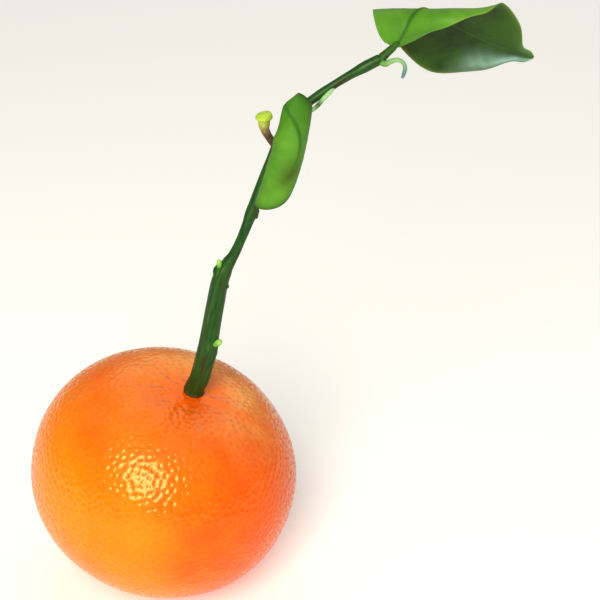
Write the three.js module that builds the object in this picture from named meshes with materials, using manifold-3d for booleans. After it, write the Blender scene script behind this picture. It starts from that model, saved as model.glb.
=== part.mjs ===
// A clementine picked with its leafy twig. One round fruit stands on a small flat spot, and its green calyx
// holds the twig. The twig carries two curled leaves, the stalk of a flower that set no fruit, two sleeping
// buds and the withered tip of the shoot.
// Millimetres, +Z up. The origin is the centre of the flat spot that the fruit rests on. -Y is the front.
import * as THREE from "three";
import { mergeVertices } from "three/addons/utils/BufferGeometryUtils.js";
import Module from "manifold-3d";

const wasm = await Module();
wasm.setup();

const degrees = THREE.MathUtils.degToRad;
const point = (xyz) => new THREE.Vector3(...xyz);

const GAP = 0.25; // between pieces that touch

// The fruit
const FRUIT_RADIUS = 29; // centre to equator
const FRUIT_CROWN = 24.9; // centre to stem end, before the hollow that the calyx sits in
const FRUIT_BASE = 25.0; // centre to blossom end
const FRUIT_SQUARENESS = 2.16; // 2 is an ellipse
const FRUIT_LEAN_RIGHT = degrees(16.1);
const FRUIT_LEAN_FRONT = degrees(7);
const STEM_HOLLOW_DEPTH = 2.1;
const STEM_HOLLOW_RADIUS = 8.5;
const SEAT_RADIUS = 2.9; // flat floor of the hollow, under the calyx
const SKIN_UNEVENNESS = [0.008, 0.005]; // share of the radius, two and three times round the equator
const PUCKERS = 9; // one furrow over the wall between two segments
const PUCKER_DEPTH = 0.2;
const PUCKER_REACH = 4; // from the seat to where the furrows are deepest
const BLOSSOM_HOLLOW_DEPTH = 0.9;
const BLOSSOM_HOLLOW_RADIUS = 5;
const REST_FLAT = 0.75; // how far the fruit has flattened where it rests
const FRUIT_RINGS = 44;
const RING_CROWDING = 0.07; // of the rings towards the two ends
const FRUIT_SIDES = 72;

// The calyx, a low disc with five blunt lobes
const CALYX_RADIUS = 2.15;
const CALYX_LOBE = 0.15;
const CALYX_LOBES = 5;
const CALYX_THICKNESS = 0.9;
const CALYX_SIDES = 50;
const CALYX_OFFSET = [0.95, 0.4]; // of its middle from the middle of the hollow
// Its section: a share of the radius, and a share of the thickness
const CALYX_SECTION = [
  [0.5, 0],
  [0.9, 0],
  [1, 0.3],
  [0.92, 0.8],
  [0.8, 1],
  [0.5, 1],
];

// The twig: its centreline above the calyx, and its radius at each of those points. It is thick up to the
// shoulder where an older shoot ended, and thin above it.
const TWIG_LINE = [
  [4.9, -1.9, 50.3],
  [5.9, -2.4, 53.8],
  [6.7, -2.9, 57.3],
  [7.3, -3.1, 60.1],
  [8.2, -3.4, 65.1],
  [9.1, -3.7, 69.8],
  [9.8, -3.8, 73.3],
  [10.6, -3.8, 75.8],
  [11.7, -3.7, 78.0],
  [13.0, -3.6, 80.1],
  [14.3, -3.3, 82.9],
  [15.5, -3.0, 85.8],
  [16.5, -2.7, 88.6],
  [17.4, -2.4, 91.3],
  [18.7, -1.9, 94.9],
  [20.2, -1.4, 98.6],
  [22.0, -0.8, 102.6],
  [24.3, 0.0, 106.7],
  [27.0, 0.8, 109.6],
  [30.1, 1.5, 111.8],
  [33.0, 2.2, 113.6],
  [35.8, 2.7, 115.2],
  [38.9, 3.2, 116.8],
  [41.6, 3.6, 118.1],
];
const TWIG_RADII = [
  2.1, 2.1, 2.05, 2.0, 1.9, 1.85, 1.8, 1.7, 1.35, 1.05, 0.95, 1.02, 1.2, 1.05, 0.95, 0.95, 1.12, 0.95, 0.85,
  0.9, 0.8, 0.85, 1.1, 1.05,
];
const TWIG_FOOT_RADIUS = 2.1;
const TWIG_SIDES = 12;
// Swellings of the twig: the cushion under the low bud, the shoulder, and the cushion of a leaf that fell
const SWELLINGS = [
  {
    line: [
      [6.8, -3.1, 55.0],
      [7.7, -3.4, 57.4],
      [8.6, -3.8, 59.4],
    ],
    radii: [1.5, 1.3, 0.8],
  },
  {
    line: [
      [10.4, -3.8, 72.7],
      [10.0, -3.8, 75.3],
      [9.8, -3.8, 76.6],
      [9.9, -3.8, 77.6],
    ],
    radii: [1.5, 1.3, 1.15, 0.7],
  },
  {
    line: [
      [16.8, -2.6, 87.9],
      [17.4, -2.6, 89.2],
      [17.8, -2.6, 89.9],
    ],
    radii: [1.1, 0.85, 0.4],
  },
];

// A flat leaf is bent round a straight axis, as paper is round a rod. The headings are angles from the axis
// towards the rise. Each pair of half widths, of fullness and of folds is for the anticlockwise and then the
// clockwise half of the blade, as seen from outside the curl.
const UPPER_LEAF = {
  stalk: [
    [42.1, 3.7, 118.5],
    [43.1, 3.7, 119.5],
    [44.0, 3.6, 120.4],
    [44.8, 3.5, 121.6],
  ],
  stalkRadii: [0.95, 0.8, 0.75, 0.7],
  base: [44.6, 3.7, 120.5], // where the blade begins on its stalk
  axis: [0.9975, 0.028, 0.065], // the straight line that the blade is bent round
  rise: [-0.06, -0.122, 0.99], // up the blade at its base, square to the axis
  headings: [degrees(61.4), degrees(21.6)], // of the midrib at its base and at its tip
  length: 39.4,
  halfWidths: [11.2, 9.9],
  fullness: [0.38, 0.64], // of the outline at the base: less is blunter
  curlStart: 1.24, // up the blade from its base
  curlSpan: 10.2,
  curlTurn: degrees(158.3),
  folds: [degrees(-15), degrees(23.3)], // of each half towards the inside of the curl, at the base
  foldedShare: 0.59, // of the length, until the folds have opened
  tipFullness: 0.79, // of the outline at the tip
  drawnOut: 0.49, // how much the tip is narrowed before its end
  bow: 0.83, // of the bent blade to its rise side, half way along
  waveHeight: 1.17, // of the margin
  waves: 2.15, // from base to tip
};
const LOWER_LEAF = {
  stalk: [
    [31.8, 1.2, 112.2],
    [30.5, 0.4, 111.0],
    [29.3, -0.6, 109.9],
    [27.8, -1.6, 109.4],
    [26.4, -3.0, 110.0],
    [25.4, -5.0, 111.4],
    [24.6, -7.0, 112.5],
    [23.8, -8.4, 112.8],
  ],
  stalkRadii: [0.5, 0.44, 0.42, 0.5, 0.45, 0.45, 0.45, 0.42],
  base: [23.4, -8.6, 113.2],
  axis: [-0.246, -0.031, -0.969],
  rise: [0.676, -0.722, -0.148],
  headings: [degrees(53.5), degrees(-76.8)],
  length: 23.4,
  halfWidths: [5.1, 7.8],
  fullness: [0.08, 0.54],
  curlStart: -10.8,
  curlSpan: 20,
  curlTurn: degrees(385),
  folds: [degrees(-4.2), degrees(5.1)],
  foldedShare: 0.38,
  tipFullness: 0.21,
  drawnOut: 0,
  bow: 1.06,
  waveHeight: 0.16,
  waves: 1.78,
};
const BLADE_THICKNESS = 0.6;
const BLADE_STEPS_ALONG = 30;
const BLADE_STEPS_ACROSS = 14;
const MIDRIB_RADII = [0.5, 0.25];
const MIDRIB_SINK = 0.2; // its centre under the middle of the blade, on the underside
const MIDRIB_SHARE = 0.94; // of the blade's length
const TIP_NECK = [0.92, 0.06]; // where the tip is drawn out and over how much, as shares of the length
const LEAST_HALF_WIDTHS = [0.8, 0.35]; // of the blade, at its base and at its tip
const CURL_STEPS = 24;

// The stalk of a flower that fell without setting fruit: a stalk, a cup and a domed disc on top
const FLOWER_LINE = [
  [21.3, -1.6, 102.7],
  [20.2, -2.1, 104.4],
  [19.5, -2.4, 105.9],
  [19.3, -2.6, 107.1],
  [19.3, -2.7, 108.0],
  [19.3, -2.8, 108.6],
  [19.2, -2.85, 109.1],
  [19.1, -2.9, 109.5],
];
const FLOWER_RADII = [0.8, 0.75, 0.85, 1.1, 1.2, 1.65, 1.6, 0.7];

// The withered end of the shoot, curled over
const TIP_LINE = [
  [42.6, 2.6, 117.5],
  [43.7, 2.0, 118.2],
  [44.9, 1.9, 118.5],
  [45.9, 1.6, 118.0],
  [46.3, 1.4, 117.1],
  [46.1, 1.3, 115.9],
  [45.8, 1.3, 115.1],
];
const TIP_RADII = [0.6, 0.5, 0.42, 0.4, 0.4, 0.38, 0.25];

// Sleeping buds: the middle of the foot, the way each points, length and radius
const BUDS = [
  { name: "bud_low", foot: [8.6, -4.1, 59.9], way: [0.8, -0.3, 0.5], length: 1.9, radius: 0.85 },
  { name: "bud_high", foot: [10.1, -4.1, 77.6], way: [-0.1, -0.1, 1], length: 1.7, radius: 0.65 },
];

// Closed meshes

// A closed skin from rings of points, with a fan over the first and the last ring.
function closedFromRings(rings) {
  const sides = rings[0].length;
  const positions = rings.flat().flatMap((p) => p.toArray());
  const faces = [];
  for (let r = 0; r + 1 < rings.length; r++) {
    for (let i = 0; i < sides; i++) {
      const next = (i + 1) % sides;
      const [a, b] = [r * sides + i, r * sides + next];
      faces.push(a, b, b + sides, a, b + sides, a + sides);
    }
  }
  for (const [ring, turned] of [
    [0, true],
    [rings.length - 1, false],
  ]) {
    const middle = rings[ring].reduce((sum, p) => sum.add(p), new THREE.Vector3()).divideScalar(sides);
    const centre = positions.length / 3;
    positions.push(...middle.toArray());
    for (let i = 0; i < sides; i++) {
      const [a, b] = [ring * sides + i, ring * sides + ((i + 1) % sides)];
      faces.push(...(turned ? [centre, b, a] : [centre, a, b]));
    }
  }
  return new THREE.BufferGeometry()
    .setAttribute("position", new THREE.Float32BufferAttribute(positions, 3))
    .setIndex(faces);
}

// A solid from a geometry, whose corners at one place become one.
function solidOf(geometry) {
  const bare = new THREE.BufferGeometry().setAttribute("position", geometry.getAttribute("position"));
  bare.setIndex(geometry.index);
  const merged = mergeVertices(bare, 1e-4);
  return new wasm.Manifold(
    new wasm.Mesh({
      numProp: 3,
      vertProperties: merged.attributes.position.array,
      triVerts: new Uint32Array(merged.index.array),
    }),
  );
}

function geometryOf(solid) {
  const mesh = solid.getMesh();
  return new THREE.BufferGeometry()
    .setAttribute("position", new THREE.BufferAttribute(mesh.vertProperties, 3))
    .setIndex(new THREE.BufferAttribute(mesh.triVerts, 1));
}

function largest(solid) {
  return solid.decompose().reduce((most, body) => (body.volume() > most.volume() ? body : most));
}

// A radius part of the way along a list of them, eased from each one to the next.
function valueAlong(values, share) {
  const place = share * (values.length - 1);
  const i = Math.min(Math.floor(place), values.length - 2);
  return THREE.MathUtils.lerp(values[i], values[i + 1], THREE.MathUtils.smoothstep(place - i, 0, 1));
}

// A round rod that follows points, with a radius at each of them and a number of steps from one to the next.
function rod(points, radii, sides, spanSteps, grow = 0) {
  const steps = (points.length - 1) * spanSteps;
  const curve = new THREE.CatmullRomCurve3(points.map(point), false, "catmullrom", 0.5);
  const rings = [];
  let side = null;
  for (let k = 0; k <= steps; k++) {
    const share = k / steps;
    const tangent = curve.getTangent(share);
    const steep = Math.abs(tangent.z) > 0.9;
    const start = side ?? (steep ? new THREE.Vector3(1, 0, 0) : new THREE.Vector3(0, 0, 1));
    side = start.clone().addScaledVector(tangent, -start.dot(tangent)).normalize();
    const other = new THREE.Vector3().crossVectors(tangent, side);
    const radius = valueAlong(radii, share) + grow;
    const middle = curve.getPoint(share);
    const ring = [];
    for (let i = 0; i < sides; i++) {
      const turn = (2 * Math.PI * i) / sides;
      ring.push(
        middle
          .clone()
          .addScaledVector(side, radius * Math.cos(turn))
          .addScaledVector(other, radius * Math.sin(turn)),
      );
    }
    rings.push(ring);
  }
  return closedFromRings(rings);
}

// The fruit

// A point of the skin in the fruit's own frame, +Z towards the stem.
function skinPoint(fromStem, round) {
  const [across, up] = [Math.sin(fromStem), Math.cos(fromStem)];
  const polar = up > 0 ? FRUIT_CROWN : FRUIT_BASE;
  const n = FRUIT_SQUARENESS;
  const reach = (Math.abs(across / FRUIT_RADIUS) ** n + Math.abs(up / polar) ** n) ** (-1 / n);
  const [twofold, threefold] = SKIN_UNEVENNESS;
  const wave = twofold * Math.cos(2 * round + 0.7) + threefold * Math.cos(3 * round + 2.1);
  const uneven = 1 + across ** 2 * wave;
  const out = reach * across * uneven;
  const far = Math.max(out - SEAT_RADIUS, 0);
  const hollow =
    up > 0
      ? STEM_HOLLOW_DEPTH * Math.exp(-((far / STEM_HOLLOW_RADIUS) ** 2))
      : -BLOSSOM_HOLLOW_DEPTH * Math.exp(-((out / BLOSSOM_HOLLOW_RADIUS) ** 2));
  const puckered = up > 0 ? PUCKER_DEPTH * (far / PUCKER_REACH) * Math.exp(1 - far / PUCKER_REACH) : 0;
  const height = up > 0 && out < SEAT_RADIUS ? seatTop() : reach * up - hollow;
  return new THREE.Vector3(
    out * Math.cos(round),
    out * Math.sin(round),
    height - puckered * (0.5 + 0.5 * Math.cos(PUCKERS * round)),
  );
}

// The height of the flat floor of the stem hollow.
function seatTop() {
  const n = FRUIT_SQUARENESS;
  const rim = FRUIT_CROWN * (1 - (SEAT_RADIUS / FRUIT_RADIUS) ** n) ** (1 / n);
  return rim - STEM_HOLLOW_DEPTH;
}

const fruitTurn = new THREE.Matrix4()
  .makeRotationX(FRUIT_LEAN_FRONT)
  .multiply(new THREE.Matrix4().makeRotationY(FRUIT_LEAN_RIGHT));

function fruitRings() {
  const rings = [];
  for (let r = 1; r < FRUIT_RINGS; r++) {
    const even = r / FRUIT_RINGS;
    const fromStem = Math.PI * (even - RING_CROWDING * Math.sin(2 * Math.PI * even));
    const ring = [];
    for (let i = 0; i < FRUIT_SIDES; i++) {
      ring.push(skinPoint(fromStem, (2 * Math.PI * i) / FRUIT_SIDES).applyMatrix4(fruitTurn));
    }
    rings.push(ring.reverse());
  }
  return rings;
}

const skinRings = fruitRings();

// The fruit with its centre at a place, cut off flat at the floor.
function fruitAt(centre) {
  const whole = solidOf(closedFromRings(skinRings.map((ring) => ring.map((p) => p.clone().add(centre)))));
  const room = 4 * FRUIT_RADIUS;
  const aboveFloor = new THREE.BoxGeometry(room, room, room).translate(0, 0, room / 2);
  return whole.intersect(solidOf(aboveFloor));
}

// The middle of the flat spot, from the area and the middle of each of its triangles.
function flatSpotMiddle(geometry) {
  const corners = geometry.toNonIndexed().getAttribute("position");
  const middle = new THREE.Vector3();
  let area = 0;
  for (let i = 0; i < corners.count; i += 3) {
    const [a, b, c] = [0, 1, 2].map((k) => new THREE.Vector3().fromBufferAttribute(corners, i + k));
    if (Math.max(a.z, b.z, c.z) > 1e-4) continue;
    const size = new THREE.Triangle(a, b, c).getArea();
    middle.addScaledVector(a.add(b).add(c), size / 3);
    area += size;
  }
  return middle.divideScalar(area);
}

const lowest = skinRings.flat().reduce((low, p) => (p.z < low.z ? p : low));
const firstCentre = new THREE.Vector3(-lowest.x, -lowest.y, -lowest.z - REST_FLAT);
const fruitCentre = firstCentre.clone().sub(flatSpotMiddle(geometryOf(fruitAt(firstCentre))));
const fruitPlace = new THREE.Matrix4().makeTranslation(fruitCentre).multiply(fruitTurn);
const stemWay = new THREE.Vector3(0, 0, 1).applyMatrix4(fruitTurn);

// The calyx
function makeCalyx() {
  const low = seatTop() + GAP;
  const sectionRings = CALYX_SECTION.map(([share, height]) => {
    const ring = [];
    for (let i = 0; i < CALYX_SIDES; i++) {
      const round = (2 * Math.PI * i) / CALYX_SIDES;
      const out = share * (CALYX_RADIUS + CALYX_LOBE * Math.cos(CALYX_LOBES * round));
      const up = low + height * CALYX_THICKNESS;
      const [x, y] = [CALYX_OFFSET[0] + out * Math.cos(round), CALYX_OFFSET[1] + out * Math.sin(round)];
      ring.push(new THREE.Vector3(x, y, up).applyMatrix4(fruitPlace));
    }
    return ring;
  });
  return closedFromRings(sectionRings);
}

// The twig
const footHeight = seatTop() + CALYX_THICKNESS + 2 * GAP;
const footPoint = new THREE.Vector3(...CALYX_OFFSET, footHeight).applyMatrix4(fruitPlace);
const twigLine = [footPoint.toArray(), footPoint.clone().addScaledVector(stemWay, 1).toArray(), ...TWIG_LINE];
const twigRadii = [TWIG_FOOT_RADIUS, TWIG_FOOT_RADIUS, ...TWIG_RADII];

function twigSolid(grow) {
  const rods = [{ line: twigLine, radii: twigRadii }, ...SWELLINGS];
  return rods
    .map(({ line, radii }) => solidOf(rod(line, radii, TWIG_SIDES, 3, grow)))
    .reduce((whole, swelling) => whole.add(swelling));
}

// What the pieces that grow on the twig are cut with
const grownTwig = twigSolid(GAP);

// The leaves

// Half the width of a flat leaf, a share of the way from its base to its tip. The tip is drawn out.
function leafHalfWidth(leaf, half, share) {
  const fullness = THREE.MathUtils.lerp(leaf.fullness[half], leaf.tipFullness, share);
  const oval = (4 * share * (1 - share)) ** fullness;
  const drawnOut = 1 - leaf.drawnOut * Math.exp(-(((share - TIP_NECK[0]) / TIP_NECK[1]) ** 2));
  return Math.max(leaf.halfWidths[half] * oval * drawnOut, THREE.MathUtils.lerp(...LEAST_HALF_WIDTHS, share));
}

// How far the blade has turned at a distance up it, and where it has got to, along its rise and out of it.
function curlTurned(leaf, up) {
  const bent = (x) => THREE.MathUtils.clamp((x - leaf.curlStart) / leaf.curlSpan, 0, 1);
  return leaf.curlTurn * (bent(up) - bent(0));
}

function curlReached(leaf, up) {
  const reached = [0, 0];
  for (let k = 0; k < CURL_STEPS; k++) {
    const turned = curlTurned(leaf, (up * (k + 0.5)) / CURL_STEPS);
    reached[0] += (Math.cos(turned) * up) / CURL_STEPS;
    reached[1] += (Math.sin(turned) * up) / CURL_STEPS;
  }
  return reached;
}

// A point of the blade. Across is -1 at one margin, 0 on the midrib and 1 at the other margin.
function bladePoint(leaf, share, across, lift = 0) {
  const half = across < 0 ? 0 : 1;
  const aside = across * leafHalfWidth(leaf, half, share);
  const axis = point(leaf.axis).normalize();
  const rise = point(leaf.rise);
  rise.addScaledVector(axis, -rise.dot(axis)).normalize();
  const inwards = new THREE.Vector3().crossVectors(rise, axis);
  const [start, end] = leaf.headings;
  const heading = THREE.MathUtils.lerp(start, end, share);
  const midribRadius = leaf.length / (end - start);
  const midrib = [
    midribRadius * (Math.sin(heading) - Math.sin(start)),
    midribRadius * (Math.cos(start) - Math.cos(heading)),
  ];
  const fold = leaf.folds[half] * (1 - THREE.MathUtils.smoothstep(share / leaf.foldedShare, 0, 1));
  const flatAside = aside * Math.cos(fold);
  const up = midrib[1] - flatAside * Math.cos(heading);
  const sideways = midrib[0] + flatAside * Math.sin(heading);
  const [risen, left] = curlReached(leaf, up);
  const turned = curlTurned(leaf, up);
  const waveSize = leaf.waveHeight * across ** 2 * 4 * share * (1 - share);
  const wave = waveSize * Math.sin(2 * Math.PI * leaf.waves * share + 1.5 * half);
  const out = Math.abs(aside) * Math.sin(fold) + wave + lift;
  const alongAxis = sideways / leaf.length;
  const bowed = leaf.bow * 4 * alongAxis * (1 - alongAxis);
  return point(leaf.base)
    .addScaledVector(axis, sideways)
    .addScaledVector(rise, risen - out * Math.sin(turned) + bowed)
    .addScaledVector(inwards, left + out * Math.cos(turned));
}

// The blade as one closed sheet, split into triangles alike on both faces.
function bladeSolid(leaf) {
  const [long, wide] = [BLADE_STEPS_ALONG, BLADE_STEPS_ACROSS];
  const rows = [];
  for (let i = 0; i <= long; i++) {
    const share = i / long;
    const face = (lift) => {
      const row = [];
      for (let j = 0; j <= wide; j++) row.push(bladePoint(leaf, share, (2 * j) / wide - 1, lift));
      return row;
    };
    rows.push([...face(-BLADE_THICKNESS / 2), ...face(BLADE_THICKNESS / 2).reverse()]);
  }
  return solidOf(sheetFromRows(rows, wide + 1));
}

// Rows that go out along one face and back along the other, with the end rows closed by strips.
function sheetFromRows(rows, faceCount) {
  const around = rows[0].length;
  const positions = rows.flat().flatMap((p) => p.toArray());
  const faces = [];
  const at = (r, i) => r * around + ((i + around) % around);
  for (let r = 0; r + 1 < rows.length; r++) {
    for (let i = 0; i < around; i++) {
      const returning = i >= faceCount;
      const [a, b, c, d] = [at(r, i), at(r, i + 1), at(r + 1, i + 1), at(r + 1, i)];
      faces.push(...(returning ? [a, b, c, a, c, d] : [a, b, d, b, c, d]));
    }
  }
  for (const [r, turned] of [
    [0, true],
    [rows.length - 1, false],
  ]) {
    for (let i = 0; i + 1 < faceCount; i++) {
      const [a, b, c, d] = [at(r, i), at(r, i + 1), at(r, around - 2 - i), at(r, around - 1 - i)];
      faces.push(...(turned ? [a, c, b, a, d, c] : [a, b, c, a, c, d]));
    }
  }
  return new THREE.BufferGeometry()
    .setAttribute("position", new THREE.Float32BufferAttribute(positions, 3))
    .setIndex(faces);
}

function makeLeaf(leaf) {
  const midribLine = [];
  const spans = 12;
  for (let k = 0; k <= spans; k++) {
    midribLine.push(bladePoint(leaf, (MIDRIB_SHARE * k) / spans, 0, -MIDRIB_SINK).toArray());
  }
  const midrib = solidOf(rod(midribLine, MIDRIB_RADII, 8, 3));
  const stalk = solidOf(rod(leaf.stalk, leaf.stalkRadii, 10, 3));
  return geometryOf(largest(bladeSolid(leaf).add(midrib).add(stalk).subtract(grownTwig)));
}

// The small growths on the twig
function growth(line, radii) {
  return solidOf(rod(line, radii, 14, 3)).subtract(grownTwig);
}

// Half an egg that stands on its thick end
function makeBud(bud) {
  const line = [];
  const radii = [];
  for (const share of [0, 0.2, 0.4, 0.6, 0.8, 0.95]) {
    line.push(point(bud.foot).addScaledVector(point(bud.way).normalize(), bud.length * share).toArray());
    radii.push(bud.radius * Math.sqrt(1 - share ** 2));
  }
  return growth(line, radii);
}

// The finished group
const clementine = new THREE.Group();

function addPiece(name, geometry, colour, roughness) {
  const material = new THREE.MeshStandardMaterial({ color: colour, roughness, metalness: 0 });
  const piece = new THREE.Mesh(geometry, material);
  piece.name = name;
  clementine.add(piece);
}

addPiece("fruit", geometryOf(fruitAt(fruitCentre)), 0xf57a12, 0.38);
addPiece("calyx", makeCalyx(), 0x5a6b2a, 0.7);
addPiece("twig", geometryOf(twigSolid(0)), 0x2f5a26, 0.5);
addPiece("upper_leaf", makeLeaf(UPPER_LEAF), 0x55892a, 0.45);
addPiece("lower_leaf", makeLeaf(LOWER_LEAF), 0x6ba336, 0.5);
addPiece("flower_stub", geometryOf(growth(FLOWER_LINE, FLOWER_RADII)), 0xc3c95a, 0.6);
addPiece("shoot_tip", geometryOf(growth(TIP_LINE, TIP_RADII)), 0x86a86a, 0.7);
for (const bud of BUDS) addPiece(bud.name, geometryOf(makeBud(bud)), 0x86b25a, 0.6);

export default clementine;
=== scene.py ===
# The finished look of a clementine picked with its leafy twig. Metres, +Z up, -Y is the front.
import math

import bmesh
import bpy
import numpy as np
from mathutils import Matrix, Vector


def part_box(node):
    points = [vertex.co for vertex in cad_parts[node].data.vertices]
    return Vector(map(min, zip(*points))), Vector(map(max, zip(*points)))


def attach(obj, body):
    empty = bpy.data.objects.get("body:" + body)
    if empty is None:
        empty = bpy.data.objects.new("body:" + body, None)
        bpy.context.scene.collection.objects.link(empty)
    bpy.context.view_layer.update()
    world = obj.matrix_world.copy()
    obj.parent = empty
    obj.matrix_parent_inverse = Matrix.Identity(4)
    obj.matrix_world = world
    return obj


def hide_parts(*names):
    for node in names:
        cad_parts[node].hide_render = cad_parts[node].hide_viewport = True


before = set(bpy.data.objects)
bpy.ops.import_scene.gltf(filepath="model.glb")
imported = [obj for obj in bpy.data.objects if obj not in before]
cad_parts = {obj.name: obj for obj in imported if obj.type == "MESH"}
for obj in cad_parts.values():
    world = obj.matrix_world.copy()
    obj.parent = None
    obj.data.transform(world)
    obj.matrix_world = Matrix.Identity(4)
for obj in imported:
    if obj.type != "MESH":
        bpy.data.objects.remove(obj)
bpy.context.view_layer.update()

# The peel
# A clementine's peel is a thin waxy rind that grew in one piece. Oil glands crowd under it and draw the skin
# into shallow pits. The stem end has a puckered hollow for the calyx, and the blossom end a small one with a
# dry scar.
MM = 0.001
FRUIT_RADIUS = 29 * MM
FRUIT_POLAR = 24.95 * MM  # centre to stem end or blossom end, before their hollows
FRUIT_SQUARENESS = 2.16  # 2 is an ellipse
FRUIT_LEAN_RIGHT = math.radians(16.1)
FRUIT_LEAN_FRONT = math.radians(7)
SEAT_RADIUS = 2.9 * MM  # floor of the stem hollow
STEM_HOLLOW = 2.1 * MM, 8.5 * MM  # depth and reach
BLOSSOM_HOLLOW = 0.9 * MM, 5 * MM
PUCKERS = 9
PUCKER_DEPTH = 0.2 * MM
PUCKER_REACH = 4 * MM
PUCKER_STRAY = 0.9, 3.0  # radians that the furrows stray by, and how quickly they do
SKIN_UNEVENNESS = 0.008, 0.005  # share of the radius, two and three times round the equator
UNEVENNESS_START = 0.7, 2.1  # radians round the equator
SWELL_SIZE = 16 * MM  # of the slow rise and fall of the skin over the segments
SWELL_HEIGHT = 0.35 * MM
GLAND_SPACING = 1.25 * MM  # the least distance between two glands
GLAND_TRIES = 3 / MM**2  # three on each square millimetre, before those too close to another are dropped
GLAND_GIRTH = 0.72, 1.15  # the smallest and the largest gland, as shares of a pit's radius
GLAND_SEED = 7
PIT_RADIUS = 0.72 * MM
PIT_DEPTH = 0.19 * MM
PEEL_ROWS = 126  # points along each edge of the cube that the skin is spread from
PEEL_ORANGE = "#F66600"
PEEL_YELLOW = "#FC8A0A"
# Red of the random patches, also used as painted shade on the right side
PEEL_RED = "#EA4C02"
PIT_ORANGE = "#E85A02"
PEEL_PAINTED_SHEEN = "#F4BA6A"  # a pale painted sheen, a painted reflection on the shoulder round the stem
WAX_YELLOW = "#FFE49A"  # the tint of the wax in the light that it throws back
SCAR_BROWN = "#6B4A22"
SCAR_EDGE = 0.7 * MM, 1.5 * MM  # from the blossom end to where the scar begins to fade, and to its end
SHOULDER = 14 * MM, 7.5 * MM  # from the stem to its middle, and from there to where it has half faded
RIPENESS_SIZE = 24 * MM  # of the slow drift from yellow to orange
PATCH_SIZE = 5 * MM  # of the red patches and of the patches that break up the painted sheen
WAVE_SIZE = 2.4 * MM  # of the unevenness that breaks the gloss up
WAVE_HEIGHT = 0.22 * MM
GRAIN_SIZE = 0.5 * MM
GRAIN_HEIGHT = 0.03 * MM
# Ranges: the two values of a pattern between which it takes effect, and its effect at the two if not 0 and 1
PAINTED_SHADE_SIDE = 0.9, 0.05, 0.25  # the way in which the peel is painted redder, as painted shade, and the other way yellower, as painted light
PAINTED_SHADE_RANGE = -12 * MM, 34 * MM, -0.2, 0.4
RIPENESS_AND_SHADE = 0.3, 0.7
REDNESS_AND_SHADE = 0.5, 0.9, 0.0, 0.55
PAINTED_SHEEN_SIDE = 0.55, 0.83, 0  # the way in which the painted sheen on the shoulder is strongest
PAINTED_SHEEN_RANGE = -8 * MM, 12 * MM, 0.25, 1.0
SHEEN_BREAKUP_PATCHES = 0.38, 0.62, 0.35, 0.75
PIT_SHARE = 0.18  # of the deeper orange, in the middle of a pit


def linear(hex_colour):
    """The linear colour of an sRGB hex value."""
    shares = [int(hex_colour[i : i + 2], 16) / 255 for i in (1, 3, 5)]
    return [s / 12.92 if s <= 0.04045 else ((s + 0.055) / 1.055) ** 2.4 for s in shares] + [1]


def add_node(tree, kind, links=(), **settings):
    """A node with its settings. Links name its sockets or, as a list, fill them in order. Each is a node,
    whose first output is used, a socket or a constant."""
    node = tree.nodes.new(kind)
    for name, value in settings.items():
        setattr(node, name, value)
    if not isinstance(links, dict):
        links = dict(enumerate(links))
    for socket, value in links.items():
        if isinstance(value, bpy.types.Node):
            value = value.outputs[0]
        if isinstance(value, bpy.types.NodeSocket):
            tree.links.new(value, node.inputs[socket])
        else:
            node.inputs[socket].default_value = value
    return node


def new_material(name, **constants):
    """A material with one Principled shader, whose constant values are set on its own sockets."""
    material = bpy.data.materials.new(name)
    material.use_nodes = True
    shader = material.node_tree.nodes["Principled BSDF"]
    for socket, value in constants.items():
        shader.inputs[socket.replace("_", " ")].default_value = value
    return material, material.node_tree, shader.inputs


def new_tree(name, sizes):
    """A Geometry Nodes tree with a named input for each size, and its input and output nodes."""
    tree = bpy.data.node_groups.new(name, "GeometryNodeTree")
    tree.interface.new_socket("Geometry", in_out="OUTPUT", socket_type="NodeSocketGeometry")
    tree.interface.new_socket("Geometry", in_out="INPUT", socket_type="NodeSocketGeometry")
    for label, value in sizes.items():
        kind = "NodeSocketMaterial"
        if isinstance(value, int):
            kind = "NodeSocketInt"
        elif isinstance(value, float):
            kind = "NodeSocketFloat"
        tree.interface.new_socket(label, in_out="INPUT", socket_type=kind)
    return tree, tree.nodes.new("NodeGroupInput").outputs, tree.nodes.new("NodeGroupOutput").inputs


def grown(name, start, tree, sizes):
    """The plain mesh that a tree makes from a mesh or a curve."""
    carrier = bpy.data.objects.new(name + "_start", start)
    bpy.context.scene.collection.objects.link(carrier)
    growth = carrier.modifiers.new("growth", "NODES")
    growth.node_group = tree
    for item in tree.interface.items_tree:
        if item.in_out == "INPUT" and item.name in sizes:
            growth[item.identifier] = sizes[item.name]
    evaluated = carrier.evaluated_get(bpy.context.evaluated_depsgraph_get())
    mesh = bpy.data.meshes.new_from_object(evaluated)
    bpy.data.objects.remove(carrier)
    mesh.name = name
    return mesh


def piece(name, mesh, slot, *nodes):
    """A finished piece at the origin, which stands for its solids."""
    made = bpy.data.objects.new(name, mesh)
    bpy.context.scene.collection.objects.link(made)
    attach(made, "root")
    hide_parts(*nodes)
    return made


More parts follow.
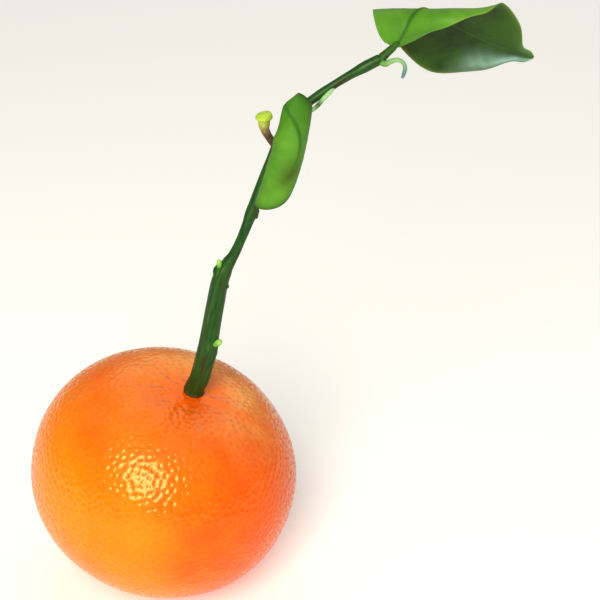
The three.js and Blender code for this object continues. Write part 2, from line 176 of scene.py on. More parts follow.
def waxed_clementine_peel():
    """Thin wax over a soft rind: a yellowish gloss that the pits and the wax's own waves break up. The colour
    drifts from yellow to orange and has red patches. It is painted redder towards the right, as painted
    shade, and yellower towards the left, as painted light, and it has a painted pale sheen on the shoulder
    behind the stem."""
    material, tree, shader = new_material(
        "waxed_clementine_peel",
        Roughness=0.17,
        IOR=1.45,
        Specular_IOR_Level=0.8,
        Specular_Tint=linear(WAX_YELLOW),
        Subsurface_Weight=0.25,
        Subsurface_Radius=(1.0, 0.28, 0.06),
        Subsurface_Scale=1.2 * MM,
        Coat_Weight=0.12,
        Coat_Roughness=0.3,
        Coat_IOR=1.45,
    )
    place = add_node(tree, "ShaderNodeTexCoord").outputs["Object"]
    drift = add_node(tree, "ShaderNodeTexNoise", {"Vector": place, "Scale": 1 / RIPENESS_SIZE, "Detail": 2.0})
    patches = add_node(tree, "ShaderNodeTexNoise", {"Vector": place, "Scale": 1 / PATCH_SIZE, "Detail": 3.0})
    # Painted shade and light: redder and more orange towards the right, yellower towards the left
    toward_shade = add_node(
        tree, "ShaderNodeVectorMath", [place, PAINTED_SHADE_SIDE], operation="DOT_PRODUCT"
    ).outputs["Value"]
    painted_shade = add_node(tree, "ShaderNodeMapRange", [toward_shade, *PAINTED_SHADE_RANGE])
    ripeness_and_shade = add_node(tree, "ShaderNodeMath", [drift, painted_shade], operation="ADD")
    ripe_and_shaded = add_node(tree, "ShaderNodeMapRange", [ripeness_and_shade, *RIPENESS_AND_SHADE])
    red_patches_and_shade = add_node(tree, "ShaderNodeMath", [patches, painted_shade], operation="ADD")
    red_and_shaded = add_node(tree, "ShaderNodeMapRange", [red_patches_and_shade, *REDNESS_AND_SHADE])
    # Painted sheen: a pale painted reflection on the shoulder round the stem, strongest towards the back
    # right, broken into patches
    toward_sheen = add_node(
        tree, "ShaderNodeVectorMath", [place, PAINTED_SHEEN_SIDE], operation="DOT_PRODUCT"
    ).outputs["Value"]
    sheen_side = add_node(tree, "ShaderNodeMapRange", [toward_sheen, *PAINTED_SHEEN_RANGE])
    uneven = add_node(tree, "ShaderNodeMapRange", [patches, *SHEEN_BREAKUP_PATCHES])
    shoulder = add_node(tree, "ShaderNodeAttribute", attribute_name="shoulder").outputs["Fac"]
    sheen_mark = add_node(tree, "ShaderNodeMath", [shoulder, uneven], operation="MULTIPLY")
    painted_sheen_share = add_node(tree, "ShaderNodeMath", [sheen_mark, sheen_side], operation="MULTIPLY")
    pit = add_node(tree, "ShaderNodeAttribute", attribute_name="pit").outputs["Fac"]
    pitted = add_node(tree, "ShaderNodeMath", [pit, PIT_SHARE], operation="MULTIPLY")
    scar = add_node(tree, "ShaderNodeAttribute", attribute_name="scar").outputs["Fac"]
    colour = linear(PEEL_YELLOW)
    for share, tone in (
        (ripe_and_shaded, PEEL_ORANGE),
        (red_and_shaded, PEEL_RED),
        (painted_sheen_share, PEEL_PAINTED_SHEEN),
        (pitted, PIT_ORANGE),
        (scar, SCAR_BROWN),
    ):
        mixed = add_node(tree, "ShaderNodeMix", {0: share, 6: colour, 7: linear(tone)}, data_type="RGBA")
        colour = mixed.outputs[2]
    tree.links.new(colour, shader["Base Color"])
    grain = add_node(tree, "ShaderNodeTexNoise", {"Vector": place, "Scale": 1 / GRAIN_SIZE, "Detail": 2.0})
    grainy = add_node(tree, "ShaderNodeBump", {"Height": grain, "Strength": 0.25, "Distance": GRAIN_HEIGHT})
    waves = add_node(tree, "ShaderNodeTexNoise", {"Vector": place, "Scale": 1 / WAVE_SIZE, "Detail": 1.0})
    wavy = add_node(tree, "ShaderNodeBump", {"Height": waves, "Distance": WAVE_HEIGHT, "Normal": grainy})
    tree.links.new(wavy.outputs[0], shader["Normal"])
    return material


def peel_tree(sizes):
    """A cube's points spread evenly over a ball, drawn out to the fruit's section, and pressed in at each
    gland."""
    tree, size, out = new_tree("clementine_peel", sizes)
    cube = add_node(tree, "GeometryNodeMeshCube", [(2, 2, 2), size["Rows"], size["Rows"], size["Rows"]])
    place = add_node(tree, "GeometryNodeInputPosition")
    eased = add_node(tree, "ShaderNodeVectorMath", {0: place, "Scale": math.pi / 4}, operation="SCALE")
    spread = add_node(tree, "ShaderNodeVectorMath", [eased], operation="TANGENT")
    way = add_node(tree, "ShaderNodeVectorMath", [spread], operation="NORMALIZE")
    parts = add_node(tree, "ShaderNodeSeparateXYZ", [way])
    level = add_node(tree, "ShaderNodeVectorMath", [way, (1, 1, 0)], operation="MULTIPLY")
    across = add_node(tree, "ShaderNodeVectorMath", [level], operation="LENGTH").outputs["Value"]
    outwards = add_node(tree, "ShaderNodeVectorMath", [level], operation="NORMALIZE")
    turn = add_node(tree, "ShaderNodeMath", [parts.outputs[1], parts.outputs[0]], operation="ARCTAN2")
    up = parts.outputs[2]
    steep = add_node(tree, "ShaderNodeMath", [up], operation="ABSOLUTE")
    side = add_node(tree, "ShaderNodeMath", [up], operation="SIGN")
    stem_side = add_node(tree, "ShaderNodeMath", [up, 0.0], operation="GREATER_THAN")
    # The section: a superellipse through the equator and the two ends
    wide = add_node(tree, "ShaderNodeMath", [across, size["Radius"]], operation="DIVIDE")
    tall = add_node(tree, "ShaderNodeMath", [steep, size["Polar"]], operation="DIVIDE")
    wide_power = add_node(tree, "ShaderNodeMath", [wide, size["Squareness"]], operation="POWER")
    tall_power = add_node(tree, "ShaderNodeMath", [tall, size["Squareness"]], operation="POWER")
    powers = add_node(tree, "ShaderNodeMath", [wide_power, tall_power], operation="ADD")
    root = add_node(tree, "ShaderNodeMath", [-1.0, size["Squareness"]], operation="DIVIDE")
    reach = add_node(tree, "ShaderNodeMath", [powers, root], operation="POWER")
    # The uneven equator
    twice = add_node(tree, "ShaderNodeMath", [turn, 2.0, UNEVENNESS_START[0]], operation="MULTIPLY_ADD")
    thrice = add_node(tree, "ShaderNodeMath", [turn, 3.0, UNEVENNESS_START[1]], operation="MULTIPLY_ADD")
    twofold = add_node(tree, "ShaderNodeMath", [twice], operation="COSINE")
    threefold = add_node(tree, "ShaderNodeMath", [thrice], operation="COSINE")
    first = add_node(tree, "ShaderNodeMath", [twofold, size["Twofold"]], operation="MULTIPLY")
    both = add_node(tree, "ShaderNodeMath", [threefold, size["Threefold"], first], operation="MULTIPLY_ADD")
    broad = add_node(tree, "ShaderNodeMath", [across, across], operation="MULTIPLY")
    uneven = add_node(tree, "ShaderNodeMath", [both, broad, 1.0], operation="MULTIPLY_ADD")
    even_out = add_node(tree, "ShaderNodeMath", [reach, across], operation="MULTIPLY")
    far_out = add_node(tree, "ShaderNodeMath", [even_out, uneven], operation="MULTIPLY")
    # The hollow of the end that the point is nearer to
    depth = add_node(tree, "ShaderNodeMix", {0: stem_side, 2: size["Blossom depth"], 3: size["Stem depth"]})
    spread_out = add_node(
        tree, "ShaderNodeMix", {0: stem_side, 2: size["Blossom reach"], 3: size["Stem reach"]}
    )
    seat = add_node(tree, "ShaderNodeMath", [stem_side, size["Seat"]], operation="MULTIPLY")
    past = add_node(tree, "ShaderNodeMath", [far_out, seat], operation="SUBTRACT")
    past_seat = add_node(tree, "ShaderNodeMath", [past, 0.0], operation="MAXIMUM")
    ratio = add_node(tree, "ShaderNodeMath", [past_seat, spread_out], operation="DIVIDE")
    fall = add_node(tree, "ShaderNodeMath", [ratio, ratio], operation="MULTIPLY")
    falling = add_node(tree, "ShaderNodeMath", [fall, -1.0], operation="MULTIPLY")
    fading = add_node(tree, "ShaderNodeMath", [falling], operation="EXPONENT")
    hollow = add_node(tree, "ShaderNodeMath", [fading, depth], operation="MULTIPLY")
    # Furrows that run out of the stem hollow
    run = add_node(tree, "ShaderNodeMath", [past_seat, size["Pucker reach"]], operation="DIVIDE")
    left = add_node(tree, "ShaderNodeMath", [1.0, run], operation="SUBTRACT")
    dying = add_node(tree, "ShaderNodeMath", [left], operation="EXPONENT")
    strength = add_node(tree, "ShaderNodeMath", [run, dying], operation="MULTIPLY")
    bend = add_node(tree, "ShaderNodeTexNoise", {"Vector": way, "Scale": PUCKER_STRAY[1]})
    strayed = add_node(tree, "ShaderNodeMath", [bend, PUCKER_STRAY[0], turn], operation="MULTIPLY_ADD")
    furrow_turn = add_node(tree, "ShaderNodeMath", [strayed, size["Puckers"]], operation="MULTIPLY")
    furrow = add_node(tree, "ShaderNodeMath", [furrow_turn], operation="COSINE")
    furrowed = add_node(tree, "ShaderNodeMath", [furrow, 0.5, 0.5], operation="MULTIPLY_ADD")
    deep = add_node(tree, "ShaderNodeMath", [furrowed, strength], operation="MULTIPLY")
    deeper = add_node(tree, "ShaderNodeMath", [deep, size["Pucker depth"]], operation="MULTIPLY")
    pucker = add_node(tree, "ShaderNodeMath", [deeper, stem_side], operation="MULTIPLY")
    high = add_node(tree, "ShaderNodeMath", [reach, steep], operation="MULTIPLY")
    sunk = add_node(tree, "ShaderNodeMath", [high, hollow], operation="SUBTRACT")
    drawn = add_node(tree, "ShaderNodeMath", [sunk, pucker], operation="SUBTRACT")
    height = add_node(tree, "ShaderNodeMath", [drawn, side], operation="MULTIPLY")
    ring = add_node(tree, "ShaderNodeVectorMath", {0: outwards, "Scale": far_out}, operation="SCALE")
    stem_way = add_node(tree, "ShaderNodeCombineXYZ", {2: height})
    upright = add_node(tree, "ShaderNodeVectorMath", [ring, stem_way], operation="ADD")
    # The slow rise and fall of the skin over the segments
    slow = add_node(tree, "ShaderNodeTexNoise", {"Vector": upright, "Scale": 1 / SWELL_SIZE, "Detail": 0.0})
    raised = add_node(tree, "ShaderNodeMath", [slow, 0.5], operation="SUBTRACT")
    swell = add_node(tree, "ShaderNodeMath", [raised, size["Swell"]], operation="MULTIPLY")
    swollen = add_node(tree, "ShaderNodeVectorMath", {0: way, "Scale": swell}, operation="SCALE")
    shaped = add_node(tree, "ShaderNodeVectorMath", [upright, swollen], operation="ADD")
    lean = (Matrix.Rotation(FRUIT_LEAN_FRONT, 3, "X") @ Matrix.Rotation(FRUIT_LEAN_RIGHT, 3, "Y")).to_euler()
    leaning = add_node(
        tree, "ShaderNodeVectorRotate", {0: shaped, "Rotation": lean[:]}, rotation_type="EULER_XYZ"
    )
    skin = add_node(tree, "GeometryNodeSetPosition", {0: cube, "Position": leaning})
    # The dry scar at the blossom end, a mark that the material reads
    scar_fall = add_node(tree, "ShaderNodeMapRange", [far_out, *SCAR_EDGE, 1.0, 0.0])
    blossom_side = add_node(tree, "ShaderNodeMath", [1.0, stem_side], operation="SUBTRACT")
    scar = add_node(tree, "ShaderNodeMath", [scar_fall, blossom_side], operation="MULTIPLY")
    marked = add_node(tree, "GeometryNodeStoreNamedAttribute", {0: cube, "Name": "scar", "Value": scar})
    # The painted pale sheen on the shoulder round the stem, another mark
    beyond = add_node(tree, "ShaderNodeMath", [far_out, SHOULDER[0]], operation="SUBTRACT")
    aside = add_node(tree, "ShaderNodeMath", [beyond], operation="ABSOLUTE")
    faded = add_node(
        tree, "ShaderNodeMapRange", [aside, 0.0, 2 * SHOULDER[1], 1.0, 0.0], interpolation_type="SMOOTHSTEP"
    )
    shoulder = add_node(tree, "ShaderNodeMath", [faded, stem_side], operation="MULTIPLY")
    sheen_mark = add_node(
        tree, "GeometryNodeStoreNamedAttribute", {0: marked, "Name": "shoulder", "Value": shoulder}
    )
    tree.links.new(sheen_mark.outputs[0], skin.inputs[0])
    # The glands, scattered evenly and each of its own size
    glands = add_node(
        tree,
        "GeometryNodeDistributePointsOnFaces",
        {0: skin, "Distance Min": size["Gland spacing"], "Density Max": GLAND_TRIES, "Seed": size["Seed"]},
        distribute_method="POISSON",
    )
    girth = add_node(
        tree, "FunctionNodeRandomValue", {2: GLAND_GIRTH[0], 3: GLAND_GIRTH[1], "Seed": size["Seed"]}
    )
    sized = add_node(
        tree, "GeometryNodeStoreNamedAttribute", {0: glands, "Name": "girth", "Value": girth.outputs[1]}
    )
    nearest = add_node(tree, "GeometryNodeSampleNearest", [sized])
    centre = add_node(tree, "GeometryNodeSampleIndex", [sized, place, nearest], data_type="FLOAT_VECTOR")
    its_girth = add_node(tree, "GeometryNodeInputNamedAttribute", {"Name": "girth"}, data_type="FLOAT")
    wide_gland = add_node(tree, "GeometryNodeSampleIndex", [sized, its_girth, nearest], data_type="FLOAT")
    away = add_node(tree, "ShaderNodeVectorMath", [place, centre], operation="DISTANCE").outputs["Value"]
    pit_wide = add_node(tree, "ShaderNodeMath", [wide_gland, size["Pit radius"]], operation="MULTIPLY")
    pit_away = add_node(tree, "ShaderNodeMath", [away, pit_wide], operation="DIVIDE")
    pit = add_node(tree, "ShaderNodeMapRange", {0: pit_away, 3: 1.0, 4: 0.0}, interpolation_type="SMOOTHSTEP")
    pressed = add_node(tree, "ShaderNodeMath", [pit, size["Pit depth"]], operation="MULTIPLY")
    inwards = add_node(tree, "ShaderNodeMath", [pressed, -1.0], operation="MULTIPLY")
    outside = add_node(tree, "GeometryNodeInputNormal")
    offset = add_node(tree, "ShaderNodeVectorMath", {0: outside, "Scale": inwards}, operation="SCALE")
    noted = add_node(tree, "GeometryNodeStoreNamedAttribute", {0: skin, "Name": "pit", "Value": pit})
    pitted = add_node(tree, "GeometryNodeSetPosition", {0: noted, "Offset": offset})
    smooth = add_node(tree, "GeometryNodeSetShadeSmooth", [pitted])
    whole = add_node(tree, "GeometryNodeRealizeInstances", [smooth])
    finished = add_node(tree, "GeometryNodeSetMaterial", {0: whole, "Material": size["Material"]})
    tree.links.new(finished.outputs[0], out[0])
    return tree


def points_of(mesh):
    """The places of a mesh's points, one row each."""
    flat = np.empty(len(mesh.vertices) * 3)
    mesh.vertices.foreach_get("co", flat)
    return flat.reshape(-1, 3)


def settled(mesh, node):
    """Moves a round mesh to where its solid is, and flattens it where it rests on the floor."""
    places = points_of(mesh)
    low, high = (np.array(corner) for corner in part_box(node))
    shift = ((low + high) - (places.min(0) + places.max(0))) / 2
    shift[2] = high[2] - places[:, 2].max()
    places += shift
    places[:, 2] = np.maximum(places[:, 2], 0)
    mesh.vertices.foreach_set("co", places.ravel())
    mesh.update()
    return Vector(shift)


peel_sizes = {
    "Rows": PEEL_ROWS,
    "Radius": FRUIT_RADIUS,
    "Polar": FRUIT_POLAR,
    "Squareness": FRUIT_SQUARENESS,
    "Seat": SEAT_RADIUS,
    "Stem depth": STEM_HOLLOW[0],
    "Stem reach": STEM_HOLLOW[1],
    "Blossom depth": BLOSSOM_HOLLOW[0],
    "Blossom reach": BLOSSOM_HOLLOW[1],
    "Puckers": PUCKERS,
    "Pucker depth": PUCKER_DEPTH,
    "Pucker reach": PUCKER_REACH,
    "Twofold": SKIN_UNEVENNESS[0],
    "Threefold": SKIN_UNEVENNESS[1],
    "Swell": SWELL_HEIGHT,
    "Gland spacing": GLAND_SPACING,
    "Pit radius": PIT_RADIUS,
    "Pit depth": PIT_DEPTH,
    "Seed": GLAND_SEED,
    "Material": waxed_clementine_peel(),
}
peel_mesh = grown("peel", bpy.data.meshes.new("peel_start"), peel_tree(peel_sizes), peel_sizes)
fruit_centre = settled(peel_mesh, "fruit")
piece("peel", peel_mesh, "peel", "fruit")

# The calyx
# The green button that holds the fruit is the flower's dried calyx: a low woody disc with five blunt lobes,
# grown on the end of the twig and seated in the stem hollow.
CALYX_RADIUS = 2.1 * MM
CALYX_LOBES = 5
CALYX_LOBE = 0.12 * MM  # how far a lobe stands out
CALYX_NOTCH = 0.12 * MM, 0.6  # how far the rim sinks beside a lobe, and from which share of the radius
CALYX_WRINKLES = 23
CALYX_WRINKLE = 0.04 * MM
CALYX_THICKNESS = 0.9 * MM
CALYX_SIDES = 100
CALYX_OFFSET = 0.95 * MM, 0.4 * MM  # of its middle from the middle of the hollow
CALYX_SECTION = (
    (0, 0), (0.6, 0), (0.95, 0.05), (1.05, 0.2), (1.07, 0.4), (1.02, 0.62), (0.93, 0.8), (0.7, 0.95), (0, 1),
)  # shares of the radius and of the thickness
CALYX_GREEN = "#5C6E2C"
CALYX_BROWN = "#4A3418"
CALYX_BROWNED = 0.1, 0.5
CALYX_MOTTLE_SIZE = 0.6 * MM
CALYX_MOTTLE_HEIGHT = 0.08 * MM
SEAM_GAP = 0.002 * MM  # points this close are one point

fruit_place = Matrix.Translation(fruit_centre) @ (
    Matrix.Rotation(FRUIT_LEAN_FRONT, 4, "X") @ Matrix.Rotation(FRUIT_LEAN_RIGHT, 4, "Y")
)
seat_share = (1 - (SEAT_RADIUS / FRUIT_RADIUS) ** FRUIT_SQUARENESS) ** (1 / FRUIT_SQUARENESS)
seat_top = FRUIT_POLAR * seat_share - STEM_HOLLOW[0]


def mesh_from(name, places, faces, material, **marks):
    """A smooth mesh, with a named value at each point for each mark."""
    mesh = bpy.data.meshes.new(name)
    mesh.from_pydata([tuple(p) for p in places], [], faces)
    for label, values in marks.items():
        mark = mesh.attributes.new(label, "FLOAT", "POINT")
        mark.data.foreach_set("value", np.asarray(values, np.float32))
    mesh.materials.append(material)
    mesh.shade_smooth()
    mesh.update()
    return mesh


def dry_calyx():
    """Half-dried sepals: dull green wood that has gone brown along the rim."""
    material, tree, shader = new_material("dry_calyx", Roughness=0.7, IOR=1.45)
    place = add_node(tree, "ShaderNodeTexCoord").outputs["Object"]
    mottle = add_node(
        tree, "ShaderNodeTexNoise", {"Vector": place, "Scale": 1 / CALYX_MOTTLE_SIZE, "Detail": 3.0}
    )
    rim = add_node(tree, "ShaderNodeAttribute", attribute_name="rim")
    browned = add_node(tree, "ShaderNodeMath", [rim.outputs["Fac"], mottle], operation="MULTIPLY")
    share = add_node(tree, "ShaderNodeMapRange", [browned, *CALYX_BROWNED])
    colour = add_node(
        tree, "ShaderNodeMix", {0: share, 6: linear(CALYX_GREEN), 7: linear(CALYX_BROWN)}, data_type="RGBA"
    )
    tree.links.new(colour.outputs[2], shader["Base Color"])
    bump = add_node(
        tree, "ShaderNodeBump", {"Height": mottle, "Strength": 0.5, "Distance": CALYX_MOTTLE_HEIGHT}
    )
    tree.links.new(bump.outputs[0], shader["Normal"])
    return material


def calyx_mesh():
    """Lobed rings from the middle of the underside round the rim to the middle of the top."""
    places, rims, faces = [], [], []
    for share, height in CALYX_SECTION:
        for i in range(CALYX_SIDES):
            turn = 2 * math.pi * i / CALYX_SIDES
            lobe = math.cos(CALYX_LOBES * turn)
            wide = share * (CALYX_RADIUS + CALYX_LOBE * lobe * min(share, 1))
            wrinkle = CALYX_WRINKLE * share * math.sin(CALYX_WRINKLES * turn + 2 * lobe)
            notch = CALYX_NOTCH[0] * (share > CALYX_NOTCH[1]) * (1 - lobe)
            up = seat_top + height * CALYX_THICKNESS - notch + wrinkle
            out = wide * math.cos(turn) + CALYX_OFFSET[0], wide * math.sin(turn) + CALYX_OFFSET[1]
            places.append(fruit_place @ Vector((*out, up)))
            rims.append(share)
    for r in range(len(CALYX_SECTION) - 1):
        for i in range(CALYX_SIDES):
            a = r * CALYX_SIDES + i
            b = r * CALYX_SIDES + (i + 1) % CALYX_SIDES
            faces.append((a, b, b + CALYX_SIDES, a + CALYX_SIDES))
    return merged(mesh_from("calyx_button", places, faces, dry_calyx(), rim=rims))


def merged(mesh):
    """Closes the seams and the poles of a mesh and points its faces outwards."""
    shape = bmesh.new()
    shape.from_mesh(mesh)
    bmesh.ops.remove_doubles(shape, verts=shape.verts, dist=SEAM_GAP)
    bmesh.ops.recalc_face_normals(shape, faces=shape.faces)
    shape.to_mesh(mesh)
    shape.free()
    mesh.update()
    return mesh


piece("calyx_button", calyx_mesh(), "calyx_green", "calyx")

# The twig
# Young citrus wood, still green: a slightly ridged stem that stands thick up to the shoulder where an older
# shoot ended, and goes on thin above it, with a cushion below each bud and at the scar of a fallen leaf.
TWIG_LINE = (
    (4.9, -1.9, 50.3), (5.9, -2.4, 53.8), (6.7, -2.9, 57.3), (7.3, -3.1, 60.1), (8.2, -3.4, 65.1),
    (9.1, -3.7, 69.8), (9.8, -3.8, 73.3), (10.6, -3.8, 75.8), (11.7, -3.7, 78.0), (13.0, -3.6, 80.1),
    (14.3, -3.3, 82.9), (15.5, -3.0, 85.8), (16.5, -2.7, 88.6), (17.4, -2.4, 91.3), (18.7, -1.9, 94.9),
    (20.2, -1.4, 98.6), (22.0, -0.8, 102.6), (24.3, 0.0, 106.7), (27.0, 0.8, 109.6), (30.1, 1.5, 111.8),
    (33.0, 2.2, 113.6), (35.8, 2.7, 115.2), (38.9, 3.2, 116.8), (41.6, 3.6, 118.1),
)  # millimetres
TWIG_RADII = (
    2.1, 2.1, 2.05, 2.0, 1.9, 1.85, 1.8, 1.7, 1.35, 1.05, 0.95, 1.02,
    1.2, 1.05, 0.95, 0.95, 1.12, 0.95, 0.85, 0.9, 0.8, 0.85, 1.1, 1.05,
)  # millimetres
TWIG_FOOT_RADIUS = 2.1
TWIG_FOOT = 0.4, 1.6  # how high over the seat its first two points are, in thicknesses of the calyx
# The cushions, each a short rod of its own: its line and its radii
SWELLINGS = (
    (((6.8, -3.1, 55.0), (7.7, -3.4, 57.4), (8.6, -3.8, 59.4)), (1.5, 1.3, 0.8)),
    (((10.4, -3.8, 72.7), (10.0, -3.8, 75.3), (9.8, -3.8, 76.6), (9.9, -3.8, 77.6)), (1.5, 1.3, 1.15, 0.7)),
    (((16.8, -2.6, 87.9), (17.4, -2.6, 89.2), (17.8, -2.6, 89.9)), (1.1, 0.85, 0.4)),
)
TWIG_RIDGES = 3
TWIG_RIDGE = 0.02  # share of the radius
TWIG_GRAIN = 0.13 * MM  # size of the cells that the joined twig is cut into
BARK_GREEN = "#2B5A1C"
BARK_DARK = "#1A3C14"
BARK_BROWN = "#4A2814"
LENTICEL = "#6A8848"
STREAK_SIZE = 0.5 * MM
STREAK_HEIGHT = 0.08 * MM
STREAK_STRETCH = 0.12  # of the pattern's scale, along the stem
DARK_STREAKS = 0.35, 0.7
BLOTCH_SIZE = 1.6 * MM
BROWN_BLOTCHES = 0.56, 0.74, 0.0, 0.5
LENTICEL_SPACING = 1.1 * MM
LENTICEL_EDGE = 0.12, 0.2, 0.35, 0.0


def smooth_path(places, radii, steps=4):
    """Points and radii along a smooth line through places, some steps from each to the next."""
    before = 2 * np.array(places[0]) - places[1]
    after = 2 * np.array(places[-1]) - places[-2]
    p = np.array([before, *places, after], float)
    line, girths = [], []
    for k in range((len(places) - 1) * steps + 1):
        i = min(k // steps, len(places) - 2)
        t = k / steps - i
        a, b, c, d = p[i : i + 4]
        twice = 2 * b + (c - a) * t + (2 * a - 5 * b + 4 * c - d) * t**2 + (3 * b - a - 3 * c + d) * t**3
        line.append(0.5 * twice)
        eased = t * t * (3 - 2 * t)
        girths.append(radii[i] * (1 - eased) + radii[i + 1] * eased)
    return np.array(line) * MM, np.array(girths) * MM


def rod_start(name, places, radii):
    """A curve through places given in millimetres, with a radius at each."""
    line, girths = smooth_path(places, radii)
    curve = bpy.data.curves.new(name, "CURVE")
    curve.dimensions = "3D"
    spline = curve.splines.new("POLY")
    spline.points.add(len(line) - 1)
    for dot, place, girth in zip(spline.points, line, girths):
        dot.co = (*place, 1)
        dot.radius = girth
    return curve


def rod_tree(sizes):
    """A ridged round section swept along a line, as thick at each point as the line says. Its ends are
    closed."""
    tree, size, out = new_tree("plant_stem", sizes)
    along = add_node(tree, "GeometryNodeSplineParameter")
    line = add_node(
        tree,
        "GeometryNodeStoreNamedAttribute",
        {0: tree.nodes["Group Input"], "Name": "along", "Value": along},
    )
    section = add_node(tree, "GeometryNodeCurvePrimitiveCircle", {0: size["Sides"], 4: 1.0})
    place = add_node(tree, "GeometryNodeInputPosition")
    parts = add_node(tree, "ShaderNodeSeparateXYZ", [place])
    turn = add_node(tree, "ShaderNodeMath", [parts.outputs[1], parts.outputs[0]], operation="ARCTAN2")
    ridges = add_node(tree, "ShaderNodeMath", [turn, size["Ridges"]], operation="MULTIPLY")
    wave = add_node(tree, "ShaderNodeMath", [ridges], operation="COSINE")
    ridged = add_node(tree, "ShaderNodeMath", [wave, size["Ridge height"], 1.0], operation="MULTIPLY_ADD")
    drawn = add_node(tree, "ShaderNodeVectorMath", {0: place, "Scale": ridged}, operation="SCALE")
    outline = add_node(tree, "GeometryNodeSetPosition", {0: section, "Position": drawn})
    girth = add_node(tree, "GeometryNodeInputNamedAttribute", {"Name": "radius"}, data_type="FLOAT")
    swept = add_node(
        tree, "GeometryNodeCurveToMesh", {0: line, 1: outline, "Scale": girth, "Fill Caps": True}
    )
    smooth = add_node(tree, "GeometryNodeSetShadeSmooth", [swept])
    whole = add_node(tree, "GeometryNodeRealizeInstances", [smooth])
    finished = add_node(tree, "GeometryNodeSetMaterial", {0: whole, "Material": size["Material"]})
    tree.links.new(finished.outputs[0], out[0])
    return tree


def young_citrus_bark():
    """Green bark with a thin wax: long faint streaks, browned ridges and a few pale pores."""
    material, tree, shader = new_material(
        "young_citrus_bark", Roughness=0.45, IOR=1.45, Specular_IOR_Level=0.35
    )
    place = add_node(tree, "ShaderNodeAttribute", attribute_name="bark_place").outputs["Vector"]
    long_way = add_node(tree, "ShaderNodeMapping", {0: place, "Scale": (1, 1, STREAK_STRETCH)})
    streaks = add_node(
        tree, "ShaderNodeTexNoise", {"Vector": long_way, "Scale": 1 / STREAK_SIZE, "Detail": 3.0}
    )
    shade = add_node(tree, "ShaderNodeMapRange", [streaks, *DARK_STREAKS])
    blotches = add_node(
        tree, "ShaderNodeTexNoise", {"Vector": long_way, "Scale": 1 / BLOTCH_SIZE, "Detail": 2.0}
    )
    worn = add_node(tree, "ShaderNodeMapRange", [blotches, *BROWN_BLOTCHES])
    pores = add_node(tree, "ShaderNodeTexVoronoi", {"Vector": long_way, "Scale": 1 / LENTICEL_SPACING})
    dots = add_node(tree, "ShaderNodeMapRange", [pores, *LENTICEL_EDGE])
    colour = linear(BARK_GREEN)
    for share, tone in ((shade, BARK_DARK), (worn, BARK_BROWN), (dots, LENTICEL)):
        mixed = add_node(tree, "ShaderNodeMix", {0: share, 6: colour, 7: linear(tone)}, data_type="RGBA")
        colour = mixed.outputs[2]
    tree.links.new(colour, shader["Base Color"])
    bump = add_node(tree, "ShaderNodeBump", {"Height": streaks, "Strength": 0.5, "Distance": STREAK_HEIGHT})
    tree.links.new(bump.outputs[0], shader["Normal"])
    return material


def joined(name, meshes):
    """Several meshes as one."""
    parts = [bpy.data.objects.new(name, mesh) for mesh in meshes]
    for part in parts:
        bpy.context.scene.collection.objects.link(part)
    with bpy.context.temp_override(active_object=parts[0], selected_editable_objects=parts):
        bpy.ops.object.join()
    mesh = parts[0].data
    bpy.data.objects.remove(parts[0])
    return mesh


def grown_together(name, meshes, cell):
    """One skin round several overlapping stems, as they grow into each other."""
    carrier = bpy.data.objects.new(name, joined(name, meshes))
    bpy.context.scene.collection.objects.link(carrier)
    skin = carrier.modifiers.new("skin", "REMESH")
    skin.mode = "VOXEL"
    skin.voxel_size = cell
    skin.use_smooth_shade = True
    eased = carrier.modifiers.new("eased", "SMOOTH")
    eased.factor = 0.5
    eased.iterations = 4
    mesh = bpy.data.meshes.new_from_object(carrier.evaluated_get(bpy.context.evaluated_depsgraph_get()))
    bpy.data.objects.remove(carrier)
    mesh.name = name
    return mesh


def mark_bark(mesh, line):
    """Gives each point its place on the straightened stem: across it, twice, and along it."""
    steps = np.gradient(line, axis=0)
    tangents = steps / np.linalg.norm(steps, axis=1, keepdims=True)
    side = np.cross(tangents[0], (0, 1, 0))
    sides = []
    for tangent in tangents:
        side = side - tangent * (side @ tangent)
        side /= np.linalg.norm(side)
        sides.append(side)
    sides = np.array(sides)
    others = np.cross(tangents, sides)
    lengths = np.concatenate([[0], np.cumsum(np.linalg.norm(np.diff(line, axis=0), axis=1))])
    places = points_of(mesh)
    nearest = np.argmin(((places[:, None, :] - line[None]) ** 2).sum(-1), axis=1)
    off = places - line[nearest]
    marks = np.stack(
        [
            (off * sides[nearest]).sum(1),
            (off * others[nearest]).sum(1),
            lengths[nearest] + (off * tangents[nearest]).sum(1),
        ],
        -1,
    )
    mesh.attributes.new("bark_place", "FLOAT_VECTOR", "POINT").data.foreach_set("vector", marks.ravel())


bark = young_citrus_bark()
stem_sizes = {"Sides": 36, "Ridges": TWIG_RIDGES, "Ridge height": TWIG_RIDGE, "Material": bark}
stem_tree = rod_tree(stem_sizes)
foot_places = [
    tuple(fruit_place @ Vector((*CALYX_OFFSET, seat_top + rise * CALYX_THICKNESS)) / MM) for rise in TWIG_FOOT
]
twig_line = (*foot_places, *TWIG_LINE)
twig_radii = (TWIG_FOOT_RADIUS, TWIG_FOOT_RADIUS, *TWIG_RADII)
twig_rods = [
    grown("twig_rod", rod_start("twig_line", line, radii), stem_tree, stem_sizes)
    for line, radii in ((twig_line, twig_radii), *SWELLINGS)
]
twig_mesh = grown_together("twig_stem", twig_rods, TWIG_GRAIN)
mark_bark(twig_mesh, smooth_path(twig_line, twig_radii)[0])
piece("twig_stem", twig_mesh, "twig_bark", "twig")
